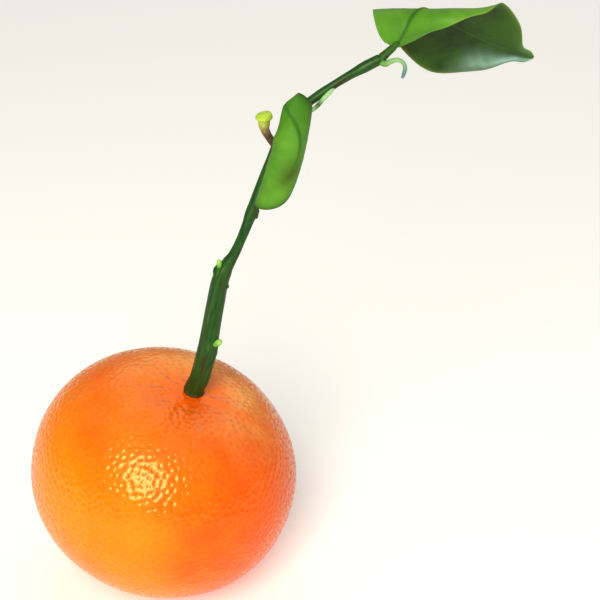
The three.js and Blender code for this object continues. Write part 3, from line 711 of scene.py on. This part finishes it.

# The two leaves
# Leathery evergreen blades, glossy dark green above and pale matt green below, that curled up as they dried.
# Each is one sheet bent round a straight line, on a stalk, with a raised midrib and faint side veins.

# Millimetres. A pair is for the left and the right half, seen from below, and headings are at base and tip.
# The last values are for the material: the share of the length that the midrib shows on, how narrow the
# margin's colour is, the strength of the painted grey sheen and the painted glow, and the middle and the
# strength of a rusted bruise.
UPPER_LEAF = {
    "stalk": (
        (41.6, 3.6, 118.0), (42.1, 3.7, 118.5), (43.1, 3.7, 119.5), (44.0, 3.6, 120.4), (44.8, 3.5, 121.6),
    ),
    "stalk_radii": (0.9, 0.95, 0.8, 0.75, 0.62),
    "base": (44.6, 3.7, 120.5),
    "axis": (0.9975, 0.028, 0.065),
    "rise": (-0.06, -0.122, 0.99),
    "headings": (math.radians(61.4), math.radians(21.6)),
    "length": 39.4,
    "half_widths": (11.2, 9.9),
    "fullness": (0.38, 0.64),
    "curl_start": 1.24,
    "curl_span": 10.2,
    "curl_turn": math.radians(158.3),
    "folds": (math.radians(-15), math.radians(23.3)),
    "folded_share": 0.59,
    "tip_fullness": 0.79,
    "drawn_out": 0.49,
    "bow": 0.83,
    "wave_height": 1.17,
    "waves": 2.15,
    "rib_reach": 1,
    "rim": 24,
    "painted_light": 0.8,
    "rust": (0.3, 0.4, 0),
}
LOWER_LEAF = {
    "stalk": (
        (32.6, 2.0, 113.2), (31.8, 1.2, 112.2), (30.5, 0.4, 111.0), (29.3, -0.6, 109.9), (27.8, -1.6, 109.4),
        (26.4, -3.0, 110.0), (25.4, -5.0, 111.4), (24.6, -7.0, 112.5), (23.8, -8.4, 112.8),
    ),
    "stalk_radii": (0.5, 0.5, 0.44, 0.42, 0.5, 0.45, 0.45, 0.45, 0.42),
    "base": (23.4, -8.6, 113.2),
    "axis": (-0.246, -0.031, -0.969),
    "rise": (0.676, -0.722, -0.148),
    "headings": (math.radians(53.5), math.radians(-76.8)),
    "length": 23.4,
    "half_widths": (5.1, 7.8),
    "fullness": (0.08, 0.54),
    "curl_start": -10.8,
    "curl_span": 20,
    "curl_turn": math.radians(385),
    "folds": (math.radians(-4.2), math.radians(5.1)),
    "folded_share": 0.38,
    "tip_fullness": 0.21,
    "drawn_out": 0,
    "bow": 1.06,
    "wave_height": 0.16,
    "waves": 1.78,
    "rib_reach": 0.6,
    "rim": 5,
    "painted_light": 0,
    "rust": (0.6, -0.12, 1),
}
TIP_NECK = 0.92, 0.06  # where the drawn-out tip narrows and over how much, as shares of the length
LEAST_HALF_WIDTHS = 0.8, 0.35  # at the base and at the tip
WAVE_LAG = 1.5  # radians by which the right half's waves come later
BLADE_THICKNESS = 0.42
MARGIN_THICKNESS = 0.2
LEAF_ROWS = 150
LEAF_COLUMNS = 84
COLUMN_CROWDING = 1.35  # above 1, the columns crowd round the midrib
CURL_STEPS = 24
MIDRIB_HEIGHT = 0.3
MIDRIB_LOWERING = 0.6  # the share of its height that it has lost at the tip
MIDRIB_WIDTH = 0.42, 0.16  # at the base and at the tip
MIDRIB_END = 6  # how abruptly it ends
VEIN_SPACING = 2.9
VEIN_SLANT = 0.7  # how far a side vein runs up the leaf for each step outwards
VEIN_BEND = 0.035  # how much more it does so for each millimetre
VEIN_STAGGER = 0.4  # of the spacing, between the two halves
VEIN_NARROWING = 0.82  # distance across the slanted veins for each step along the leaf
VEIN_RELIEF = 0.04
VEIN_WIDTH = 0.2
VEIN_END = 5  # how abruptly the side veins end at the margin
GROOVE_DEPTH = 0.14  # of the midrib on the upper side
UPPER_VEINS = 0.3  # share of the relief that the side veins have there
QUILTING_HEIGHT = 0.008  # of the blade between two side veins
RELIEF_GROWTH = 6  # how quickly the relief begins at the base
MARGIN_NARROWNESS = 6, 30  # of the thin margin at the sides, and at base and tip
LEAF_SHEEN_FROM = 0.6, 0.22  # where the painted sheen begins and over how much, as shares of the length
LEAF_SHEEN_ACROSS = -0.62, 0.32  # its middle and its breadth, as shares of the half width
LEAF_SHEEN_STREAKS = 0.06  # the share of it that comes and goes between the side veins
PAINTED_GLOW_NARROWNESS = 6  # how closely the painted glow of light through the blade keeps to the tip
RUST_SIZE = 0.14, 0.28
CLOUD_SIZE = 4 * MM
CLOUDED = 0.35, 0.65
MARK_BROKEN = 0.3, 0.6, 0.6, 1.0
FOOT_REACH = 0.34  # of the darker green at the base, as a share of the length
VEIN_SHARE = 0.07  # of the midrib's green in the side veins
MIDRIB_SHARES = 0.8, 0.25  # of its darker green below, where it is painted shade along the midrib, and of its green above
LEAF_ROUGHNESS = 0.5, 0.3  # below and above
LEAF_GRAIN_SIZE = 0.45 * MM
LEAF_GRAIN_HEIGHT = 0.03 * MM
UNDER_GREEN = "#62982C"
UNDER_SHADE = "#548A26"
UNDER_FOOT = "#3C7414"
UPPER_GREEN = "#2C5008"
UPPER_SHADE = "#1E3806"
# Darker green: painted shade along the midrib below, and a faint tone in the side veins
MIDRIB_GREEN = "#2F6216"
UPPER_MARGIN = "#8FAE44"
# Painted shade along the lower leaf's rolled margin
LOWER_MARGIN_SHADE = "#2A4A0E"
# Grey of the painted sheen, a painted reflection on the upper side
LEAF_SHEEN_GREY = "#9CC6B6"
# Green of a painted glow of light shining through the blade
PAINTED_GLOW_GREEN = "#7AA552"
RUST_OLIVE = "#46600E"
UPPER_STALK = "#365F1E"
# Pale green of the lower leaf's stalk, a painted sheen
LOWER_STALK_SHEEN = "#9CC98A"
JOINT_BROWN = "#3F4520"
STALK_JOINT = 0.3, 0.09  # of the stalk: where the joint is, and how far its colour reaches
JOINT_SHARE = 0.9


def leaf_outline(leaf, share, right):
    """Half the width of the flat leaf, a share of the way from base to tip, on its left or right half."""
    fullness = np.where(right, leaf["fullness"][1], leaf["fullness"][0])
    oval = (4 * share * (1 - share)).clip(0) ** (fullness + (leaf["tip_fullness"] - fullness) * share)
    drawn = 1 - leaf["drawn_out"] * np.exp(-(((share - TIP_NECK[0]) / TIP_NECK[1]) ** 2))
    least = LEAST_HALF_WIDTHS[0] + (LEAST_HALF_WIDTHS[1] - LEAST_HALF_WIDTHS[0]) * share
    return np.maximum(np.where(right, leaf["half_widths"][1], leaf["half_widths"][0]) * oval * drawn, least)


def curl_turned(leaf, up):
    """How far the blade has turned at a distance up it from its base."""
    bent = ((up - leaf["curl_start"]) / leaf["curl_span"]).clip(0, 1)
    return leaf["curl_turn"] * (bent - min(max(-leaf["curl_start"] / leaf["curl_span"], 0), 1))


def curl_reached(leaf, up):
    """Where the curled blade has got to at a distance up it: along its rise and out of it."""
    risen, left = np.zeros_like(up), np.zeros_like(up)
    for k in range(CURL_STEPS):
        turned = curl_turned(leaf, up * (k + 0.5) / CURL_STEPS)
        risen += np.cos(turned) * up / CURL_STEPS
        left += np.sin(turned) * up / CURL_STEPS
    return risen, left


def blade_places(leaf, share, across, lift):
    """Places of the curled blade in millimetres. Across runs from -1 to 1. Lift is towards the upper side."""
    right = across > 0
    aside = across * leaf_outline(leaf, share, right)
    axis = np.array(leaf["axis"], float) / np.linalg.norm(leaf["axis"])
    rise = np.array(leaf["rise"], float)
    rise -= axis * (rise @ axis)
    rise /= np.linalg.norm(rise)
    start, end = leaf["headings"]
    heading = start + (end - start) * share
    sickle = leaf["length"] / (end - start)
    opened = (share / leaf["folded_share"]).clip(0, 1)
    fold = np.where(right, leaf["folds"][1], leaf["folds"][0]) * (1 - opened * opened * (3 - 2 * opened))
    flat_aside = aside * np.cos(fold)
    up = sickle * (np.cos(start) - np.cos(heading)) - flat_aside * np.cos(heading)
    sideways = sickle * (np.sin(heading) - np.sin(start)) + flat_aside * np.sin(heading)
    risen, left = curl_reached(leaf, up)
    turned = curl_turned(leaf, up)
    wave = leaf["wave_height"] * across**2 * 4 * share * (1 - share)
    waving = wave * np.sin(2 * np.pi * leaf["waves"] * share + WAVE_LAG * right)
    out = np.abs(aside) * np.sin(fold) + lift + waving
    far = sideways / leaf["length"]
    rising = risen - out * np.sin(turned) + leaf["bow"] * 4 * far * (1 - far)
    inwards = left + out * np.cos(turned)
    return (
        np.array(leaf["base"])
        + sideways[..., None] * axis
        + rising[..., None] * rise
        + inwards[..., None] * np.cross(rise, axis)
    )


def vein_pattern(leaf, share, across):
    """How strongly the midrib and the side veins show over the flat leaf, and the swelling between them."""
    right = across > 0
    aside = np.abs(across) * leaf_outline(leaf, share, right)
    rib_width = MIDRIB_WIDTH[0] + (MIDRIB_WIDTH[1] - MIDRIB_WIDTH[0]) * share
    ending = (share / leaf["rib_reach"]).clip(0, 1) ** MIDRIB_END
    midrib = np.exp(-((aside / rib_width) ** 2)) * (1 - ending)
    sloped = VEIN_SLANT * aside + VEIN_BEND * aside**2 - VEIN_STAGGER * right * VEIN_SPACING
    along = share * leaf["length"] - sloped
    off_line = np.abs(along / VEIN_SPACING - np.round(along / VEIN_SPACING)) * VEIN_SPACING * VEIN_NARROWING
    side_veins = np.exp(-((off_line / VEIN_WIDTH) ** 2)) * (1 - np.abs(across) ** VEIN_END) * (1 - midrib)
    return midrib, side_veins, np.cos(2 * np.pi * along / VEIN_SPACING)


def painted_leaf_sheen(leaf, share, across, quilting):
    """Where the painted grey sheen lies, a painted reflection: in streaks between the side veins of one half,
    towards the tip.
    """
    reached = ((share - LEAF_SHEEN_FROM[0]) / LEAF_SHEEN_FROM[1]).clip(0, 1)
    band = np.exp(-(((across - LEAF_SHEEN_ACROSS[0]) / LEAF_SHEEN_ACROSS[1]) ** 2))
    streaks = 1 - LEAF_SHEEN_STREAKS + LEAF_SHEEN_STREAKS * quilting
    return leaf["painted_light"] * reached**2 * (3 - 2 * reached) * band * streaks


def leaf_rust(leaf, share, across):
    """How strongly a rusted bruise shows round its middle."""
    middle, aside, strength = leaf["rust"]
    away = ((share - middle) / RUST_SIZE[0]) ** 2 + ((across - aside) / RUST_SIZE[1]) ** 2
    return strength * np.exp(-away)


def blade_mesh(name, leaf, material):
    """Both faces of the blade, closed round the margin, with what the material reads at each point."""
    spread = np.linspace(-1, 1, LEAF_COLUMNS + 1)
    across = np.sign(spread) * np.abs(spread) ** COLUMN_CROWDING
    share, across = np.meshgrid(np.linspace(0, 1, LEAF_ROWS + 1), across, indexing="ij")
    midrib, side_veins, quilting = vein_pattern(leaf, share, across)
    edge = np.maximum(np.abs(across) ** MARGIN_NARROWNESS[0], np.abs(2 * share - 1) ** MARGIN_NARROWNESS[1])
    half = (BLADE_THICKNESS + (MARGIN_THICKNESS - BLADE_THICKNESS) * edge) / 2
    flat = (1 - edge) * np.minimum(1, RELIEF_GROWTH * share)
    ridge = MIDRIB_HEIGHT * midrib * (1 - MIDRIB_LOWERING * share)
    under = -half - (ridge + VEIN_RELIEF * side_veins) * flat
    upper_relief = GROOVE_DEPTH * midrib + UPPER_VEINS * VEIN_RELIEF * side_veins + QUILTING_HEIGHT * quilting
    over = half - upper_relief * flat
    faces_of_leaf = [blade_places(leaf, share, across, lift).reshape(-1, 3) for lift in (under, over)]
    rows, columns = share.shape
    corner = np.arange(rows * columns).reshape(rows, columns)
    quads = np.stack([corner[:-1, :-1], corner[:-1, 1:], corner[1:, 1:], corner[1:, :-1]], -1).reshape(-1, 4)
    rim = np.concatenate([corner[0, :-1], corner[:-1, -1], corner[-1, :0:-1], corner[:0:-1, 0]])
    strip = np.stack([rim, np.roll(rim, -1), np.roll(rim, -1) + rows * columns, rim + rows * columns], -1)
    faces = np.concatenate([quads, quads[:, ::-1] + rows * columns, strip])
    underside = np.zeros(share.size)
    # Painted sheen, a painted reflection, on the upper side only
    painted_light = painted_leaf_sheen(leaf, share, across, quilting)
    # Painted glow of light shining through the blade, towards the tip on the right half of the upper side
    painted_glow = leaf["painted_light"] * share**PAINTED_GLOW_NARROWNESS * across.clip(0)
    marks = {
        "upper": np.concatenate([underside, np.ones(share.size)]),
        "midrib": np.tile(midrib.ravel(), 2),
        "veins": np.tile(side_veins.ravel(), 2),
        "margin": np.tile((np.abs(across) ** leaf["rim"]).ravel(), 2),
        "along": np.tile(share.ravel(), 2),
        "painted_light": np.concatenate([underside, painted_light.ravel()]),
        "painted_glow": np.concatenate([underside, painted_glow.ravel()]),
        "rust": np.tile(leaf_rust(leaf, share, across).ravel(), 2),
    }
    return merged(mesh_from(name, np.concatenate(faces_of_leaf) * MM, faces.tolist(), material, **marks))


def citrus_leaf(name, stalk_green, margin_green, margin_share, foot_share):
    """A waxed evergreen leaf: glossy dark green above with a painted grey sheen and a painted glow of light
    through the blade, dull pale green below, and a thin margin, midrib and stalk in greens of their own,
    except that the midrib's darker green below and the lower leaf's dark margin are painted shade and the
    lower leaf's pale stalk is a painted sheen."""
    material, tree, shader = new_material(
        name,
        IOR=1.45,
        Specular_IOR_Level=0.32,
        Subsurface_Weight=0.2,
        Subsurface_Radius=(0.5, 1.0, 0.15),
        Subsurface_Scale=0.5 * MM,
    )
    place = add_node(tree, "ShaderNodeTexCoord").outputs["Object"]
    clouds = add_node(tree, "ShaderNodeTexNoise", {"Vector": place, "Scale": 1 / CLOUD_SIZE, "Detail": 3.0})
    clouded = add_node(tree, "ShaderNodeMapRange", [clouds, *CLOUDED])
    broken = add_node(tree, "ShaderNodeMapRange", [clouds, *MARK_BROKEN])
    mark = {
        label: add_node(tree, "ShaderNodeAttribute", attribute_name=label).outputs["Fac"]
        for label in ("upper", "along", "veins", "midrib", "margin", "painted_glow", "painted_light", "rust", "stalk")
    }
    dark = add_node(
        tree, "ShaderNodeMix", {0: clouded, 6: linear(UPPER_GREEN), 7: linear(UPPER_SHADE)}, data_type="RGBA"
    )
    at_foot = add_node(tree, "ShaderNodeMapRange", [mark["along"], 0.0, FOOT_REACH, foot_share, 0.0])
    veined = add_node(tree, "ShaderNodeMath", [mark["veins"], VEIN_SHARE], operation="MULTIPLY")
    # Below, the darker midrib is painted shade
    rib_share = add_node(tree, "ShaderNodeMapRange", [mark["upper"], 0.0, 1.0, *MIDRIB_SHARES])
    ribbed = add_node(tree, "ShaderNodeMath", [mark["midrib"], rib_share], operation="MULTIPLY")
    edged = add_node(tree, "ShaderNodeMath", [mark["margin"], margin_share], operation="MULTIPLY")
    # The painted glow, the painted sheen and the rusted bruise, each broken up by the clouds
    painted_glow, sheen_shown, rusted = (
        add_node(tree, "ShaderNodeMath", [mark[label], broken], operation="MULTIPLY")
        for label in ("painted_glow", "painted_light", "rust")
    )
    off_joint = add_node(tree, "ShaderNodeMath", [mark["along"], STALK_JOINT[0]], operation="SUBTRACT")
    beside = add_node(tree, "ShaderNodeMath", [off_joint], operation="ABSOLUTE")
    joint = add_node(tree, "ShaderNodeMapRange", [beside, 0.0, STALK_JOINT[1], JOINT_SHARE, 0.0])
    stalk = add_node(
        tree, "ShaderNodeMix", {0: joint, 6: linear(stalk_green), 7: linear(JOINT_BROWN)}, data_type="RGBA"
    )
    colour = linear(UNDER_GREEN)
    for share, tone in (
        (clouded, linear(UNDER_SHADE)),
        (at_foot, linear(UNDER_FOOT)),
        (mark["upper"], dark.outputs[2]),
        (veined, linear(MIDRIB_GREEN)),
        (ribbed, linear(MIDRIB_GREEN)),
        (edged, linear(margin_green)),
        (painted_glow, linear(PAINTED_GLOW_GREEN)),
        (sheen_shown, linear(LEAF_SHEEN_GREY)),
        (rusted, linear(RUST_OLIVE)),
        (mark["stalk"], stalk.outputs[2]),
    ):
        mixed = add_node(tree, "ShaderNodeMix", {0: share, 6: colour, 7: tone}, data_type="RGBA")
        colour = mixed.outputs[2]
    tree.links.new(colour, shader["Base Color"])
    gloss = add_node(tree, "ShaderNodeMapRange", [mark["upper"], 0.0, 1.0, *LEAF_ROUGHNESS])
    tree.links.new(gloss.outputs[0], shader["Roughness"])
    grain = add_node(tree, "ShaderNodeTexVoronoi", {"Vector": place, "Scale": 1 / LEAF_GRAIN_SIZE})
    bump = add_node(
        tree, "ShaderNodeBump", {"Height": grain, "Strength": 0.25, "Distance": LEAF_GRAIN_HEIGHT}
    )
    tree.links.new(bump.outputs[0], shader["Normal"])
    return material


def leaf_piece(name, leaf, material, slot, node):
    """The blade and its stalk as one piece."""
    sizes = {"Sides": 20, "Ridges": 2, "Ridge height": 0.06, "Material": material}
    line = rod_start(name + "_line", leaf["stalk"], leaf["stalk_radii"])
    stalk = grown(name + "_stalk", line, stem_tree, sizes)
    mark = stalk.attributes.new("stalk", "FLOAT", "POINT")
    mark.data.foreach_set("value", np.ones(len(stalk.vertices), np.float32))
    blade = blade_mesh(name + "_blade", leaf, material)
    return piece(name, joined(name, [blade, stalk]), slot, node)


upper_green = citrus_leaf("upper_citrus_leaf", UPPER_STALK, UPPER_MARGIN, margin_share=0.4, foot_share=0.25)
# The lower leaf's dark margin is painted shade
lower_green = citrus_leaf("lower_citrus_leaf", LOWER_STALK_SHEEN, LOWER_MARGIN_SHADE, margin_share=0.9, foot_share=0.95)
leaf_piece("upper_leaf_blade", UPPER_LEAF, upper_green, "upper_leaf_green", "upper_leaf")
leaf_piece("lower_leaf_blade", LOWER_LEAF, lower_green, "lower_leaf_green", "lower_leaf")

# The spent flower's stalk, the withered shoot tip and the sleeping buds
# Soft green growths on the twig: a stalk with the cup and disc of a flower that set no fruit, the shoot's own
# end, curled over and dried, and two buds, each a small egg of scales. Places and radii are in millimetres.
FLOWER_LINE = (
    (22.0, -0.9, 102.0), (21.3, -1.6, 102.7), (20.2, -2.1, 104.4), (19.5, -2.4, 105.9), (19.3, -2.6, 107.1),
    (19.3, -2.7, 108.0), (19.3, -2.8, 108.6), (19.2, -2.85, 109.1), (19.1, -2.9, 109.5),
)
FLOWER_RADII = 0.8, 0.8, 0.75, 0.85, 1.1, 1.2, 1.65, 1.6, 0.7
TIP_LINE = (
    (41.9, 3.1, 117.6), (42.6, 2.6, 117.5), (43.7, 2.0, 118.2), (44.9, 1.9, 118.5), (45.9, 1.6, 118.0),
    (46.3, 1.4, 117.1), (46.1, 1.3, 115.9), (45.8, 1.3, 115.1),
)
TIP_RADII = 0.6, 0.6, 0.5, 0.42, 0.4, 0.4, 0.38, 0.25
# Each bud's node, foot, way, length and radius
BUDS = (
    ("bud_low", (8.6, -4.1, 59.9), (0.8, -0.3, 0.5), 1.9, 0.85),
    ("bud_high", (10.1, -4.1, 77.6), (-0.1, -0.1, 1), 1.7, 0.65),
)
BUD_SHARES = 0, 0.2, 0.4, 0.6, 0.8, 0.92, 0.98  # of the length, where its section is worked out
DRY_MOTTLE_SIZE = 0.7 * MM
DRY_MOTTLE_HEIGHT = 0.06 * MM
DRY_MOTTLE_SHIFT = 0.25  # how far a mottle moves the colour along the growth


def dried_green(name, colours, roughness):
    """Soft green tissue, mottled as it dries, whose colour runs through a few tones from foot to end."""
    material, tree, shader = new_material(name, Roughness=roughness, IOR=1.45)
    along = add_node(tree, "ShaderNodeAttribute", attribute_name="along")
    place = add_node(tree, "ShaderNodeTexCoord").outputs["Object"]
    mottle = add_node(
        tree, "ShaderNodeTexNoise", {"Vector": place, "Scale": 1 / DRY_MOTTLE_SIZE, "Detail": 3.0}
    )
    shifted = add_node(
        tree, "ShaderNodeMath", [mottle, DRY_MOTTLE_SHIFT, along.outputs["Fac"]], operation="MULTIPLY_ADD"
    )
    ramp = add_node(tree, "ShaderNodeValToRGB", [shifted])
    stops = ramp.color_ramp.elements
    for stop, (share, colour) in zip(list(stops), colours):
        stop.position = share
        stop.color = linear(colour)
    for share, colour in colours[2:]:
        stops.new(share).color = linear(colour)
    tree.links.new(ramp.outputs[0], shader["Base Color"])
    bump = add_node(
        tree, "ShaderNodeBump", {"Height": mottle, "Strength": 0.5, "Distance": DRY_MOTTLE_HEIGHT}
    )
    tree.links.new(bump.outputs[0], shader["Normal"])
    return material


flower_green = dried_green(
    "spent_flower_stalk",
    (
        (0.1, "#46362A"), (0.58, "#544631"), (0.74, "#8C7C4C"),
        (0.86, "#A3A257"), (0.93, "#ABC653"), (1.0, "#AECB48"),
    ),
    0.6,
)
tip_green = dried_green("withered_shoot_tip", ((0.1, "#5F9440"), (1.0, "#5C7F80"), (0.6, "#8DB57A")), 0.65)
bud_green = dried_green("sleeping_bud_scales", ((0.1, "#4F8A2E"), (0.9, "#9CC862"), (0.5, "#6FAA3E")), 0.55)

for name, line, radii, material, slot, node in (
    ("spent_flower_stub", FLOWER_LINE, FLOWER_RADII, flower_green, "spent_flower", "flower_stub"),
    ("withered_tip", TIP_LINE, TIP_RADII, tip_green, "withered_tip", "shoot_tip"),
):
    sizes = {"Sides": 32, "Ridges": 5, "Ridge height": 0.03, "Material": material}
    mesh = grown(name, rod_start(name + "_line", line, radii), stem_tree, sizes)
    piece(name, mesh, slot, node)

for node, foot_place, way, length, girth in BUDS:
    way = np.array(way) / np.linalg.norm(way)
    line = [np.array(foot_place) + way * length * share for share in BUD_SHARES]
    radii = [girth * math.sqrt(1 - share**2) for share in BUD_SHARES]
    sizes = {"Sides": 32, "Ridges": 3, "Ridge height": 0.05, "Material": bud_green}
    mesh = grown(node, rod_start(node + "_line", line, radii), stem_tree, sizes)
    piece(node + "_scales", mesh, "bud_green", node)

# The floor, the lights and the camera
# A pale matt floor that glows like a lit white table, under soft white light from all sides. A broad lamp
# above the camera, a little to its left, makes the bright patch on the peel, and a panel lights the back.
FLOOR_WHITE = "#F4F4F2"
FLOOR_REACH = 3.0  # metres to each side
FLOOR_GLOW = 0.22
AIM = Vector((26.2, 17.0, 59.3)) * MM
CAMERA_HEIGHT = math.radians(27)  # above the horizon
CAMERA_DISTANCE = 300 * MM
LENS_SHARE = 1359 / 600  # focal length over the picture's width, both in pixels
SENSOR = 36.0
# Each lamp's turn round the fruit from the front, its height above the horizon, its distance, width and
# length in metres, and its watts
LAMPS = (
    ("front_lamp", math.radians(-9), math.radians(37), 0.9, 0.42, 0.68, 7.4),
    ("back_panel", math.radians(165), math.radians(50), 1.3, 1.4, 1.4, 3.6),
)
LAMP_WARMTH = 1.0, 0.95, 0.84
SKY_STRENGTH = 0.22

floor_material, _, floor_shader = new_material("plain_pale_floor", Roughness=0.8)
floor_shader["Base Color"].default_value = linear(FLOOR_WHITE)
floor_shader["Emission Color"].default_value = linear(FLOOR_WHITE)
floor_shader["Emission Strength"].default_value = FLOOR_GLOW
floor_corners = [(x * FLOOR_REACH, y * FLOOR_REACH, 0) for x, y in ((-1, -1), (1, -1), (1, 1), (-1, 1))]
floor_mesh = mesh_from("floor", floor_corners, [(0, 1, 2, 3)], floor_material)
floor = bpy.data.objects.new("floor", floor_mesh)
bpy.context.scene.collection.objects.link(floor)

world = bpy.data.worlds.new("soft_white")
world.use_nodes = True
world.node_tree.nodes["Background"].inputs["Color"].default_value = (1, 1, 1, 1)
world.node_tree.nodes["Background"].inputs["Strength"].default_value = SKY_STRENGTH
bpy.context.scene.world = world


def facing(place, target):
    """The turn of a lamp or camera at a place that looks at a target."""
    return (Vector(target) - Vector(place)).to_track_quat("-Z", "Y").to_euler()


for name, turn, height, distance, width, length, power in LAMPS:
    lamp_data = bpy.data.lights.new(name, "AREA")
    lamp_data.shape = "ELLIPSE"
    lamp_data.size = width
    lamp_data.size_y = length
    lamp_data.color = LAMP_WARMTH
    lamp_data.energy = power
    lamp = bpy.data.objects.new(name, lamp_data)
    way = Vector((math.sin(turn), -math.cos(turn), math.tan(height))).normalized()
    lamp.location = fruit_centre + way * distance
    lamp.rotation_euler = facing(lamp.location, fruit_centre)
    bpy.context.scene.collection.objects.link(lamp)

camera_data = bpy.data.cameras.new("camera")
camera_data.sensor_width = SENSOR
camera_data.lens = SENSOR * LENS_SHARE
camera_data.clip_start = 0.01
camera = bpy.data.objects.new("camera", camera_data)
camera.location = AIM + Vector((0, -math.cos(CAMERA_HEIGHT), math.sin(CAMERA_HEIGHT))) * CAMERA_DISTANCE
camera.rotation_euler = facing(camera.location, AIM)
bpy.context.scene.collection.objects.link(camera)
bpy.context.scene.camera = camera
bpy.context.scene.view_settings.view_transform = "Standard"
bpy.context.scene.view_settings.look = "Medium High Contrast"
